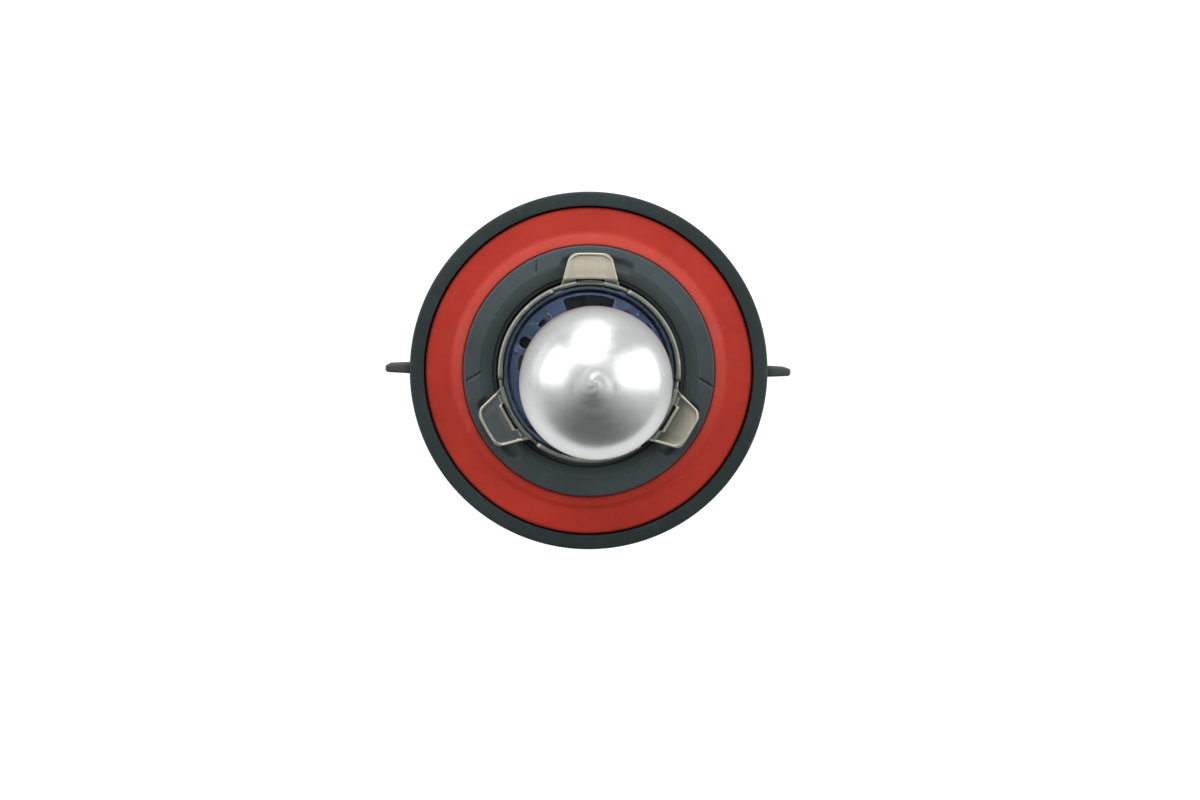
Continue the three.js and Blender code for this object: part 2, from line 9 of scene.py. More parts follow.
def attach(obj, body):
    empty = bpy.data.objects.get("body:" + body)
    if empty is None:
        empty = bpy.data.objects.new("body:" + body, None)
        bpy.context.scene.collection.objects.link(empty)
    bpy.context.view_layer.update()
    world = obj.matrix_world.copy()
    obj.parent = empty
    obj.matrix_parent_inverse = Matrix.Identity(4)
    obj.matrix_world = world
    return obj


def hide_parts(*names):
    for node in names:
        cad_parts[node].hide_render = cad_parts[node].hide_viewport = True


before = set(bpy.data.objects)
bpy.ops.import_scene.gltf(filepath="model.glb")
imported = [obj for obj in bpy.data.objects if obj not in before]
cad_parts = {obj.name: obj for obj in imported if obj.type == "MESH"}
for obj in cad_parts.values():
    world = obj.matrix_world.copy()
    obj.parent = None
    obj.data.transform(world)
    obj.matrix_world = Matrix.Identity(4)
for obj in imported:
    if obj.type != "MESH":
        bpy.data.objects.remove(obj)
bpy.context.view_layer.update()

MM = 0.001
ZT = 36.0                 # the tab plane's height above the connector rim, mm
TAU = 2 * math.pi

# ------------------------------------------------------------------ camera first

cam_data = bpy.data.cameras.new("camera")
cam = bpy.data.objects.new("camera", cam_data)
bpy.context.scene.collection.objects.link(cam)
cam_data.sensor_width = 36.0
cam_data.lens = 36.0 * 2383.2 / 1200.0
cam_data.clip_start, cam_data.clip_end = 0.01, 20.0
ROLL = 0.011
cam.location = (-6.118 * MM, 10.21 * MM, (ZT + 299.34) * MM)
cam.rotation_mode = "QUATERNION"
rx, ry, rz = Matrix.Rotation(-0.04614, 3, "X"), Matrix.Rotation(-0.02452, 3, "Y"), Matrix.Rotation(ROLL, 3, "Z")
cam.rotation_quaternion = (rz @ ry @ rx).to_quaternion()
bpy.context.scene.camera = cam

# ------------------------------------------------------------------ mesh helpers, millimetres in, metres out


def smoothstep(a, b, x):
    if a == b:
        return 1.0 if x >= b else 0.0
    t = min(1.0, max(0.0, (x - a) / (b - a)))
    return t * t * (3 - 2 * t)


def sharpen(mesh, degrees=32.0):
    bm = bmesh.new()
    bm.from_mesh(mesh)
    for f in bm.faces:
        f.smooth = True
    for e in bm.edges:
        e.smooth = not (len(e.link_faces) == 2 and e.calc_face_angle(0.0) > math.radians(degrees))
    bm.to_mesh(mesh)
    bm.free()


def make(name, verts, faces, weld=True, degrees=32.0):
    """An object from points in millimetres, welded, with its faces turned out."""
    mesh = bpy.data.meshes.new(name)
    mesh.from_pydata([(x * MM, y * MM, z * MM) for x, y, z in verts], [], faces)
    bm = bmesh.new()
    bm.from_mesh(mesh)
    if weld:
        bmesh.ops.remove_doubles(bm, verts=bm.verts, dist=1e-7)
        bmesh.ops.dissolve_degenerate(bm, edges=bm.edges, dist=1e-7)
    bmesh.ops.recalc_face_normals(bm, faces=bm.faces)
    bm.to_mesh(mesh)
    bm.free()
    sharpen(mesh, degrees)
    ob = bpy.data.objects.new(name, mesh)
    bpy.context.scene.collection.objects.link(ob)
    return ob


def fillet(points, closed=True, steps=5):
    """Rounds the corners of a profile of (r, z, corner radius)."""
    out = []
    n = len(points)
    for i, p in enumerate(points):
        rad = p[2] if len(p) > 2 else 0.0
        if rad <= 0 or (not closed and i in (0, n - 1)):
            out.append((p[0], p[1]))
            continue
        a, b, c = Vector(points[i - 1][:2]), Vector(p[:2]), Vector(points[(i + 1) % n][:2])
        u, v = (a - b), (c - b)
        lu, lv = u.length, v.length
        u.normalize(); v.normalize()
        half = math.acos(max(-1.0, min(1.0, u.dot(v)))) / 2
        if half > math.radians(89):
            out.append((p[0], p[1]))
            continue
        d = min(rad / math.tan(half), lu * 0.49, lv * 0.49)
        rad = d * math.tan(half)
        s, e = b + u * d, b + v * d
        m = (u + v).normalized()
        centre = b + m * (rad / math.sin(half))
        a0, a1 = math.atan2(*(s - centre).yx), math.atan2(*(e - centre).yx)
        da = (a1 - a0 + math.pi) % TAU - math.pi
        for k in range(steps + 1):
            t = a0 + da * k / steps
            out.append((centre.x + rad * math.cos(t), centre.y + rad * math.sin(t)))
    return out


def lathe(name, profile, segs=192, closed=True, warp=None, degrees=32.0):
    """A turned body about Z. A closed profile closes on itself; an open one starts and ends on the axis."""
    verts, faces, rows = [], [], []
    for r, z in profile:
        if r < 1e-6:
            rows.append([len(verts)] * segs)
            verts.append((0.0, 0.0, z))
        else:
            rows.append(list(range(len(verts), len(verts) + segs)))
            verts += [(r * math.cos(TAU * j / segs), r * math.sin(TAU * j / segs), z) for j in range(segs)]
    if warp:
        verts = [warp(*v) for v in verts]
    pairs = [(i, (i + 1) % len(rows)) for i in range(len(rows) if closed else len(rows) - 1)]
    for i, k in pairs:
        for j in range(segs):
            q = [rows[i][j], rows[i][(j + 1) % segs], rows[k][(j + 1) % segs], rows[k][j]]
            q = [v for n_, v in enumerate(q) if v != q[n_ - 1]]
            if len(q) > 2:
                faces.append(q)
    return make(name, verts, faces, degrees=degrees)


def angular(name, angles, section, degrees=32.0):
    """A closed ring whose cross-section [(r, z), ...] changes with the angle in degrees, with one point count."""
    verts, faces = [], []
    rows = []
    for a in angles:
        s = section(a)
        rows.append(list(range(len(verts), len(verts) + len(s))))
        c, d = math.cos(math.radians(a)), math.sin(math.radians(a))
        verts += [(r * c, r * d, z) for r, z in s]
    n = len(rows[0])
    for i in range(len(rows)):
        k = (i + 1) % len(rows)
        for j in range(n):
            l = (j + 1) % n
            faces.append([rows[i][j], rows[k][j], rows[k][l], rows[i][l]])
    return make(name, verts, faces, degrees=degrees)


def offset_outline(points, d):
    """Moves a counter-clockwise outline inwards by d."""
    out = []
    n = len(points)
    for i in range(n):
        a, b, c = Vector(points[i - 1]), Vector(points[i]), Vector(points[(i + 1) % n])
        e0, e1 = (b - a), (c - b)
        if e0.length < 1e-9 or e1.length < 1e-9:
            out.append(tuple(b)); continue
        e0.normalize(); e1.normalize()
        n0, n1 = Vector((-e0.y, e0.x)), Vector((-e1.y, e1.x))
        m = n0 + n1
        k = d / max(0.35, m.length_squared / 2)
        out.append((b.x + m.x * k, b.y + m.y * k))
    return out


def prism(name, outline, z0, z1, top=0.2, bottom=0.2, steps=4, degrees=32.0):
    """An upright prism with its top and bottom edges rounded."""
    levels = []
    for k in range(steps + 1):
        t = math.pi / 2 * k / steps
        if bottom > 0:
            levels.append((z0 + bottom * (1 - math.sin(t)), bottom * (1 - math.cos(t))))
    levels = [(z, d) for z, d in reversed(levels)] or [(z0, 0.0)]
    for k in range(steps + 1):
        t = math.pi / 2 * k / steps
        if top > 0:
            levels.append((z1 - top * (1 - math.sin(t)), top * (1 - math.cos(t))))
    if top <= 0:
        levels.append((z1, 0.0))
    verts, faces = [], []
    n = len(outline)
    for z, d in levels:
        verts += [(x, y, z) for x, y in (offset_outline(outline, d) if d > 0 else outline)]
    for i in range(len(levels) - 1):
        for j in range(n):
            l = (j + 1) % n
            faces.append([i * n + j, i * n + l, (i + 1) * n + l, (i + 1) * n + j])
    faces.append(list(range(n))[::-1])
    faces.append([(len(levels) - 1) * n + j for j in range(n)])
    return make(name, verts, faces, degrees=degrees)


def rounded_poly(points, steps=5):
    """A polygon [(x, y, corner radius)] with rounded corners, counter-clockwise."""
    pts = fillet(points, True, steps)
    area = sum(pts[i - 1][0] * pts[i][1] - pts[i][0] * pts[i - 1][1] for i in range(len(pts)))
    return pts if area > 0 else pts[::-1]


def rect(w, d, r, x=0.0, y=0.0, steps=6):
    return rounded_poly([(x - w / 2, y - d / 2, r), (x + w / 2, y - d / 2, r), (x + w / 2, y + d / 2, r), (x - w / 2, y + d / 2, r)], steps)


def disc(r, n=64, x=0.0, y=0.0):
    return [(x + r * math.cos(TAU * i / n), y + r * math.sin(TAU * i / n)) for i in range(n)]


def polar(r, deg):
    return (r * math.cos(math.radians(deg)), r * math.sin(math.radians(deg)))


def sector_outline(r0, r1, a0, a1, corner=0.25, n=14):
    pts = [(*polar(r1, a0), corner)] + [(*polar(r1, a0 + (a1 - a0) * i / n), 0.0) for i in range(1, n)] + [(*polar(r1, a1), corner)]
    pts += [(*polar(r0, a1), corner)] + [(*polar(r0, a1 + (a0 - a1) * i / n), 0.0) for i in range(1, n)] + [(*polar(r0, a0), corner)]
    return rounded_poly(pts, 4)


def plate(name, outlines, z0, z1, rho=0.08, steps=3, degrees=28.0):
    """A flat plate with holes: the first outline is the edge, the others are holes. Every edge is rounded."""
    curve = bpy.data.curves.new(name, "CURVE")
    curve.dimensions = "2D"
    curve.fill_mode = "BOTH"
    curve.bevel_depth = rho * MM
    curve.bevel_resolution = steps
    curve.offset = -rho * MM
    curve.extrude = (z1 - z0 - 2 * rho) / 2 * MM
    for o in outlines:
        s = curve.splines.new("POLY")
        s.points.add(len(o) - 1)
        for p, (x, y) in zip(s.points, o):
            p.co = (x * MM, y * MM, 0, 1)
        s.use_cyclic_u = True
    ob = bpy.data.objects.new(name, curve)
    bpy.context.scene.collection.objects.link(ob)
    bpy.context.view_layer.update()
    dg = bpy.context.evaluated_depsgraph_get()
    mesh = bpy.data.meshes.new_from_object(ob.evaluated_get(dg))
    bpy.data.objects.remove(ob, do_unlink=True)
    bpy.data.curves.remove(curve)
    bm = bmesh.new()
    bm.from_mesh(mesh)
    bmesh.ops.remove_doubles(bm, verts=bm.verts, dist=2e-7)
    bmesh.ops.recalc_face_normals(bm, faces=bm.faces)
    for v in bm.verts:
        v.co.z += (z0 + z1) / 2 * MM
    bm.to_mesh(mesh)
    bm.free()
    mesh.name = name
    sharpen(mesh, degrees)
    out = bpy.data.objects.new(name, mesh)
    bpy.context.scene.collection.objects.link(out)
    return out


def moved(ob, matrix):
    ob.data.transform(matrix)
    ob.data.update()
    return ob


def turned(ob, deg):
    return moved(ob, Matrix.Rotation(math.radians(deg), 4, "Z"))


def copy_of(ob, name):
    new = bpy.data.objects.new(name, ob.data.copy())
    bpy.context.scene.collection.objects.link(new)
    return new


def drop(ob):
    mesh = ob.data
    bpy.data.objects.remove(ob, do_unlink=True)
    if mesh.users == 0:
        bpy.data.meshes.remove(mesh)


def settle(ob, degrees=32.0):
    """Applies an object's modifiers to its mesh."""
    bpy.context.view_layer.update()
    dg = bpy.context.evaluated_depsgraph_get()
    mesh = bpy.data.meshes.new_from_object(ob.evaluated_get(dg))
    old = ob.data
    ob.modifiers.clear()
    ob.data = mesh
    mesh.name = ob.name
    bpy.data.meshes.remove(old)
    sharpen(mesh, degrees)
    return ob


def boolean(ob, others, how, degrees=32.0):
    for o in others:
        m = ob.modifiers.new("cut", "BOOLEAN")
        m.operation = how
        m.solver = "MANIFOLD"
        m.object = o
    settle(ob, degrees)
    for o in others:
        drop(o)
    bm = bmesh.new()
    bm.from_mesh(ob.data)
    bmesh.ops.remove_doubles(bm, verts=bm.verts, dist=1e-7)
    bmesh.ops.dissolve_degenerate(bm, edges=bm.edges, dist=1e-7)
    bm.to_mesh(ob.data)
    bm.free()
    sharpen(ob.data, degrees)
    return ob


def bevel(ob, width, segments=2, angle=35.0, degrees=32.0):
    m = ob.modifiers.new("bevel", "BEVEL")
    m.width = width * MM
    m.segments = segments
    m.limit_method = "ANGLE"
    m.angle_limit = math.radians(angle)
    m.use_clamp_overlap = True
    m.miter_outer = "MITER_ARC"
    return settle(ob, degrees)


def join(name, obs, degrees=32.0):
    bm = bmesh.new()
    for o in obs:
        bm.from_mesh(o.data)
    mesh = bpy.data.meshes.new(name)
    bm.to_mesh(mesh)
    bm.free()
    for o in obs:
        drop(o)
    sharpen(mesh, degrees)
    ob = bpy.data.objects.new(name, mesh)
    bpy.context.scene.collection.objects.link(ob)
    return ob


def smooth_path(points, per=12):
    """A Catmull-Rom path through the points."""
    pts = [Vector(p) for p in points]
    out = []
    for i in range(len(pts) - 1):
        p0, p1, p2, p3 = pts[max(0, i - 1)], pts[i], pts[i + 1], pts[min(len(pts) - 1, i + 2)]
        for k in range(per):
            t = k / per
            out.append(0.5 * ((2 * p1) + (p2 - p0) * t + (2 * p0 - 5 * p1 + 4 * p2 - p3) * t * t + (3 * p1 - p0 - 3 * p2 + p3) * t ** 3))
    out.append(pts[-1])
    return out


def tube(name, path, radius, sides=14, ends=True):
    """A round wire along a dense path, with rounded ends."""
    path = [Vector(p) for p in path]
    verts, faces = [], []
    t0 = (path[1] - path[0]).normalized()
    up = Vector((0, 0, 1)) if abs(t0.z) < 0.9 else Vector((1, 0, 0))
    normal = (up - t0 * up.dot(t0)).normalized()
    rows = []

    def ring(c, nrm, bin_, r):
        rows.append(list(range(len(verts), len(verts) + sides)))
        verts.extend([tuple(c + (nrm * math.cos(TAU * j / sides) + bin_ * math.sin(TAU * j / sides)) * r) for j in range(sides)])

    n = len(path)
    for i, p in enumerate(path):
        t = ((path[min(n - 1, i + 1)] - path[max(0, i - 1)])).normalized()
        normal = (normal - t * normal.dot(t)).normalized()
        b = t.cross(normal)
        ring(p, normal, b, radius)
    for i in range(len(rows) - 1):
        for j in range(sides):
            l = (j + 1) % sides
            faces.append([rows[i][j], rows[i][l], rows[i + 1][l], rows[i + 1][j]])
    # round ends: two smaller rings and a point
    for end, sign in ((0, -1), (n - 1, 1)):
        p = path[end]
        t = (path[min(n - 1, end + 1)] - path[max(0, end - 1)]).normalized()
        base = rows[end]
        prev = base
        for k in (1, 2):
            a = math.pi / 2 * k / 3
            idx = list(range(len(verts), len(verts) + sides))
            for j in range(sides):
                v = Vector(verts[base[j]]) - p
                verts.append(tuple(p + v * math.cos(a) + t * sign * radius * 0.6 * math.sin(a)))
            for j in range(sides):
                l = (j + 1) % sides
                faces.append([prev[j], prev[l], idx[l], idx[j]])
            prev = idx
        tip = len(verts)
        verts.append(tuple(p + t * sign * radius * 0.6))
        for j in range(sides):
            faces.append([prev[j], prev[(j + 1) % sides], tip])
    return make(name, verts, faces)


# ------------------------------------------------------------------ procedural materials


class Mat:
    """A node material with short calls for its nodes. Patterns use the piece's own object coordinates."""

    def __init__(self, name, roughness=0.5, metallic=0.0):
        self.mat = bpy.data.materials.new(name)
        self.mat.use_nodes = True
        self.nt = self.mat.node_tree
        self.nt.nodes.clear()
        self.out = self.nt.nodes.new("ShaderNodeOutputMaterial")
        self.bsdf = self.nt.nodes.new("ShaderNodeBsdfPrincipled")
        self.nt.links.new(self.bsdf.outputs[0], self.out.inputs[0])
        self.bsdf.inputs["Roughness"].default_value = roughness
        self.bsdf.inputs["Metallic"].default_value = metallic
        self.co = self.nt.nodes.new("ShaderNodeTexCoord").outputs["Object"]

    def link(self, a, b):
        self.nt.links.new(a, b)

    def scaled(self, sx, sy, sz):
        n = self.nt.nodes.new("ShaderNodeMapping")
        n.inputs["Scale"].default_value = (sx, sy, sz)
        self.link(self.co, n.inputs["Vector"])
        return n.outputs[0]

    def noise(self, scale, detail=3.0, rough=0.5, co=None, distortion=0.0):
        n = self.nt.nodes.new("ShaderNodeTexNoise")
        n.inputs["Scale"].default_value = scale
        n.inputs["Detail"].default_value = detail
        n.inputs["Roughness"].default_value = rough
        n.inputs["Distortion"].default_value = distortion
        self.link(co or self.co, n.inputs["Vector"])
        return n.outputs["Fac"]

    def voronoi(self, scale, feature="F1", co=None, what="Distance"):
        n = self.nt.nodes.new("ShaderNodeTexVoronoi")
        n.feature = feature
        n.inputs["Scale"].default_value = scale
        self.link(co or self.co, n.inputs["Vector"])
        return n.outputs[what]

    def ramp(self, fac, stops, interp="LINEAR"):
        n = self.nt.nodes.new("ShaderNodeValToRGB")
        n.color_ramp.interpolation = interp
        e = n.color_ramp.elements
        while len(e) > 1:
            e.remove(e[-1])
        e[0].position, e[0].color = stops[0][0], self.rgba(stops[0][1])
        for p, c in stops[1:]:
            x = e.new(p)
            x.color = self.rgba(c)
        self.link(fac, n.inputs[0])
        return n.outputs[0]

    @staticmethod
    def rgba(c):
        if isinstance(c, (int, float)):
            return (c, c, c, 1.0)
        return (*c[:3], 1.0)

    def mix(self, fac, a, b, how="MIX"):
        n = self.nt.nodes.new("ShaderNodeMix")
        n.data_type = "RGBA"
        n.blend_type = how
        for value, socket in ((fac, n.inputs[0]), (a, n.inputs[6]), (b, n.inputs[7])):
            if isinstance(value, bpy.types.NodeSocket):
                self.link(value, socket)
            elif socket == n.inputs[0]:
                socket.default_value = value
            else:
                socket.default_value = self.rgba(value)
        return n.outputs[2]

    def math(self, op, a, b=None, clamp=False):
        n = self.nt.nodes.new("ShaderNodeMath")
        n.operation = op
        n.use_clamp = clamp
        for value, socket in ((a, n.inputs[0]), (b, n.inputs[1])):
            if value is None:
                continue
            if isinstance(value, bpy.types.NodeSocket):
                self.link(value, socket)
            else:
                socket.default_value = value
        return n.outputs[0]

    def range(self, value, a, b, c, d):
        n = self.nt.nodes.new("ShaderNodeMapRange")
        n.inputs[1].default_value, n.inputs[2].default_value = a, b
        n.inputs[3].default_value, n.inputs[4].default_value = c, d
        self.link(value, n.inputs[0])
        return n.outputs[0]

    def xyz(self):
        n = self.nt.nodes.new("ShaderNodeSeparateXYZ")
        self.link(self.co, n.inputs[0])
        return n.outputs

    def radius(self):
        n = self.nt.nodes.new("ShaderNodeVectorMath")
        n.operation = "LENGTH"
        self.link(self.scaled(1, 1, 0), n.inputs[0])
        return n.outputs["Value"]

    def edges(self, low=0.5, high=0.6):
        g = self.nt.nodes.new("ShaderNodeNewGeometry")
        return self.range(g.outputs["Pointiness"], low, high, 0.0, 1.0)

    def bump(self, height, strength=0.2, distance=0.05, onto=None):
        n = self.nt.nodes.new("ShaderNodeBump")
        n.inputs["Strength"].default_value = strength
        n.inputs["Distance"].default_value = distance * MM
        self.link(height, n.inputs["Height"])
        if onto is not None:
            self.link(onto, n.inputs["Normal"])
        self.link(n.outputs[0], self.bsdf.inputs["Normal"])
        return n.outputs[0]

    def set(self, **values):
        for key, value in values.items():
            socket = self.bsdf.inputs[key.replace("_", " ")]
            if isinstance(value, bpy.types.NodeSocket):
                self.link(value, socket)
            else:
                socket.default_value = value
        return self


def lin(r, g, b):
    f = lambda c: (c / 255 / 12.92) if c / 255 <= 0.04045 else ((c / 255 + 0.055) / 1.055) ** 2.4
    return (f(r), f(g), f(b))


def plastic(name, colour, roughness=0.5, grain=0.5, tint=0.18, specular=0.5, scuffs=0.12, zone=None, bloom_and_painted_top_light=0.0):
    """Moulded plastic: fine spark-eroded grain, slight flow variation, faint scuffs and paler worn edges."""
    m = Mat(name, roughness)
    flow = m.noise(90, 4, 0.55, distortion=0.6)
    dark = tuple(c * (1 - tint) for c in colour)
    pale = tuple(min(1, c * (1 + tint) + 0.002) for c in colour)
    col = m.mix(m.range(flow, 0.35, 0.65, 0, 1), dark, pale)
    scuff = m.ramp(m.noise(700, 6, 0.7, co=m.scaled(1, 0.25, 0.6), distortion=1.2), [(0.0, 0.0), (0.62, 0.0), (0.74, 1.0)])
    col = m.mix(m.math("MULTIPLY", scuff, scuffs), col, tuple(min(1, c * 2.6 + 0.02) for c in colour))
    col = m.mix(m.math("MULTIPLY", m.edges(0.515, 0.6), 0.22), col, tuple(min(1, c * 2.2 + 0.02) for c in colour))
    speck = m.ramp(m.voronoi(520), [(0.0, 1.0), (0.045, 1.0), (0.075, 0.0)])
    sparse = m.ramp(m.noise(230, 2), [(0.58, 0.0), (0.64, 1.0)])
    col = m.mix(m.math("MULTIPLY", m.math("MULTIPLY", speck, sparse), 0.3), col, tuple(min(1, c * 3 + 0.05) for c in colour))
    if bloom_and_painted_top_light:  # painted light: the +Y (top) side is painted paler, as if more light fell on it
        col = m.mix(m.range(m.xyz()[1], -0.004, 0.012, 0.0, bloom_and_painted_top_light), col, tuple(min(1, c * 1.9 + 0.01) for c in colour))
    if zone:  # (radius where the tone starts, radius where it is full, strength, colour)
        col = m.mix(m.range(m.radius(), zone[0] * MM, zone[1] * MM, 0.0, zone[2]), col, zone[3])
    grain_h = m.noise(4200, 3, 0.6)
    m.set(Base_Color=col, Roughness=m.range(m.noise(300, 3), 0.3, 0.7, roughness - 0.06, roughness + 0.07), Specular_IOR_Level=specular)
    m.bump(m.math("ADD", grain_h, m.math("MULTIPLY", flow, 0.6)), grain, 0.02)
    return m.mat


def metal(name, colour, roughness=0.3, brushed=(1, 1, 1), scratch=0.15, tint=0.1, bump=0.1, stain=None):
    """Sheet metal or wire: directional brushing, smudges and fine scratches."""
    m = Mat(name, roughness, 1.0)
    streak = m.noise(900, 4, 0.6, co=m.scaled(*brushed))
    smudge = m.noise(160, 4, 0.6, distortion=0.8)
    col = m.mix(m.range(smudge, 0.35, 0.65, 0, 1), tuple(c * (1 - tint) for c in colour), tuple(min(1, c * (1 + tint)) for c in colour))
    if stain:
        col = m.mix(m.ramp(m.noise(240, 5, 0.65, distortion=1.0), [(0.45, 0.0), (0.7, 1.0)]), col, stain)
    fine = m.ramp(m.noise(2600, 2, 0.5, co=m.scaled(1, 0.06, 1)), [(0.0, 0.0), (0.66, 0.0), (0.72, 1.0)])
    m.set(
        Base_Color=col,
        Roughness=m.math("ADD", m.range(streak, 0.3, 0.7, roughness - 0.05, roughness + 0.08), m.math("MULTIPLY", fine, scratch)),
    )
    m.bump(m.math("ADD", streak, m.math("MULTIPLY", smudge, 0.5)), bump, 0.01)
    return m.mat


def seal_material():
    """Matte silicone: powdery sheen, moulding flow rings, small pits and specks of dust."""
    m = Mat("red_silicone", 0.55)
    red, deep, pale = lin(192, 47, 29), lin(172, 39, 25), lin(200, 78, 58)
    flow = m.noise(70, 5, 0.6, distortion=0.9)
    col = m.mix(m.range(flow, 0.3, 0.7, 0, 1), deep, red)
    rings = m.nt.nodes.new("ShaderNodeTexWave")
    rings.wave_type = "RINGS"
    rings.rings_direction = "Z"
    rings.inputs["Scale"].default_value = 260
    rings.inputs["Distortion"].default_value = 1.2
    rings.inputs["Detail"].default_value = 2
    m.link(m.co, rings.inputs["Vector"])
    bloom_and_painted_top_light = m.ramp(m.noise(420, 5, 0.7), [(0.4, 0.0), (0.75, 1.0)])
    col = m.mix(m.math("MULTIPLY", bloom_and_painted_top_light, 0.16), col, pale)
    # painted highlight: the inner sloping band of the seal is painted paler, full towards +Y (top) and faint towards -Y
    painted_band_light = m.math("MULTIPLY", m.range(m.radius(), 0.01755, 0.0168, 0.0, 1.0), m.range(m.xyz()[1], -0.014, 0.004, 0.1, 1.0))
    col = m.mix(m.math("MULTIPLY", painted_band_light, 0.42), col, lin(214, 92, 78))
    speck = m.ramp(m.voronoi(640), [(0.0, 1.0), (0.05, 1.0), (0.08, 0.0)])
    sparse = m.ramp(m.noise(200, 2), [(0.55, 0.0), (0.63, 1.0)])
    mask = m.math("MULTIPLY", speck, sparse)
    col = m.mix(m.math("MULTIPLY", mask, 0.35), col, lin(224, 132, 116))
    pit = m.ramp(m.voronoi(900, co=m.scaled(1.0, 1.07, 1.0)), [(0.0, 1.0), (0.06, 1.0), (0.1, 0.0)])
    pits = m.math("MULTIPLY", pit, m.ramp(m.noise(150, 2), [(0.5, 0.0), (0.6, 1.0)]))
    col = m.mix(m.math("MULTIPLY", pits, 0.4), col, lin(120, 24, 20))
    rub = m.ramp(m.noise(620, 5, 0.68, co=m.scaled(1, 0.2, 1), distortion=2.2), [(0.6, 0.0), (0.72, 1.0)])
    rub = m.math("MULTIPLY", rub, m.ramp(m.noise(110, 3), [(0.48, 0.0), (0.62, 1.0)]))
    col = m.mix(m.math("MULTIPLY", rub, 0.3), col, lin(214, 108, 92))
    height = m.math("ADD", m.math("MULTIPLY", m.noise(2600, 4, 0.6), 0.6), m.math("MULTIPLY", rings.outputs["Fac"], 0.08))
    height = m.math("SUBTRACT", height, m.math("MULTIPLY", pits, 0.6))
    m.set(Base_Color=col, Roughness=m.range(m.noise(350, 4), 0.3, 0.7, 0.48, 0.62), Specular_IOR_Level=0.3, Sheen_Weight=0.08, Sheen_Roughness=0.45)
    m.bump(height, 0.35, 0.03)
    return m.mat


def silver_material():
    """Silver mirror coat on the lamp's tip: a satin metal film with faint swirls and streaks, painted darker grey
    towards its lower rim as a painted reflection.
    """
    m = Mat("silver_coat", 0.3, 1.0)
    z = m.xyz()[2]
    cloud = m.noise(120, 5, 0.6, distortion=0.7)
    col = m.mix(m.range(cloud, 0.35, 0.65, 0, 1), lin(222, 224, 224), lin(232, 233, 232))
    # painted reflection: the coat is painted darker grey towards its lower rim, standing in for the darker surroundings
    # it mirrors there
    edge = m.range(z, 0.0708, 0.0738, 1.0, 0.0)
    col = m.mix(m.math("MULTIPLY", edge, 0.55, True), col, lin(128, 131, 132))
    wisp = m.ramp(m.noise(520, 6, 0.72, co=m.scaled(0.16, 1, 0.6), distortion=1.6), [(0.5, 0.0), (0.68, 1.0)])
    col = m.mix(m.math("MULTIPLY", wisp, 0.2), col, lin(176, 180, 182))
    streak = m.noise(1300, 3, 0.5, co=m.scaled(0.25, 1, 1))
    fine = m.noise(2600, 2, 0.5, co=m.scaled(0.12, 1, 1))
    m.set(Base_Color=col, Roughness=m.range(m.math("ADD", m.math("MULTIPLY", cloud, 0.6), m.math("MULTIPLY", streak, 0.4)), 0.35, 0.65, 0.29, 0.38))
    m.bump(m.math("ADD", m.noise(300, 3), m.math("ADD", m.math("MULTIPLY", streak, 0.4), m.math("MULTIPLY", fine, 0.15))), 0.09, 0.02)
    return m.mat


def glass_material(name="clear_glass"):
    """Clear hard glass with faint draw lines and a breath of haze."""
    m = Mat(name, 0.02)
    lines = m.noise(900, 2, 0.4, co=m.scaled(1, 1, 0.05))
    haze = m.noise(200, 4)
    m.set(
        Base_Color=m.mix(m.range(haze, 0.3, 0.7, 0, 1), lin(244, 249, 250), lin(251, 253, 253)),
        Roughness=m.range(haze, 0.3, 0.7, 0.0, 0.045),
        Transmission_Weight=1.0,
        IOR=1.48,
    )
    m.bump(lines, 0.03, 0.01)
    return m.mat


def blued_material():
    """Blued steel plate: slate blue with violet and steel patches, rolled grain."""
    m = Mat("blued_steel", 0.36, 1.0)
    a = m.noise(140, 4, 0.6, distortion=1.1)
    col = m.ramp(a, [(0.3, lin(70, 88, 104)), (0.46, lin(80, 98, 120)), (0.58, lin(88, 98, 132)), (0.72, lin(108, 122, 140))])
    x, y, z = m.xyz()
    rim = m.math("MULTIPLY", m.range(m.radius(), 0.0099, 0.0102, 0.0, 1.0), 0.7)
    col = m.mix(rim, col, lin(92, 106, 118))
    col = m.mix(m.math("MULTIPLY", m.edges(0.52, 0.6), 0.35), col, lin(136, 148, 162))
    grain = m.noise(2600, 3, 0.6, co=m.scaled(1, 0.12, 1))
    m.set(Base_Color=col, Roughness=m.range(m.math("ADD", grain, m.math("MULTIPLY", a, 0.5)), 0.5, 1.0, 0.3, 0.48))
    m.bump(grain, 0.12, 0.01)
    return m.mat


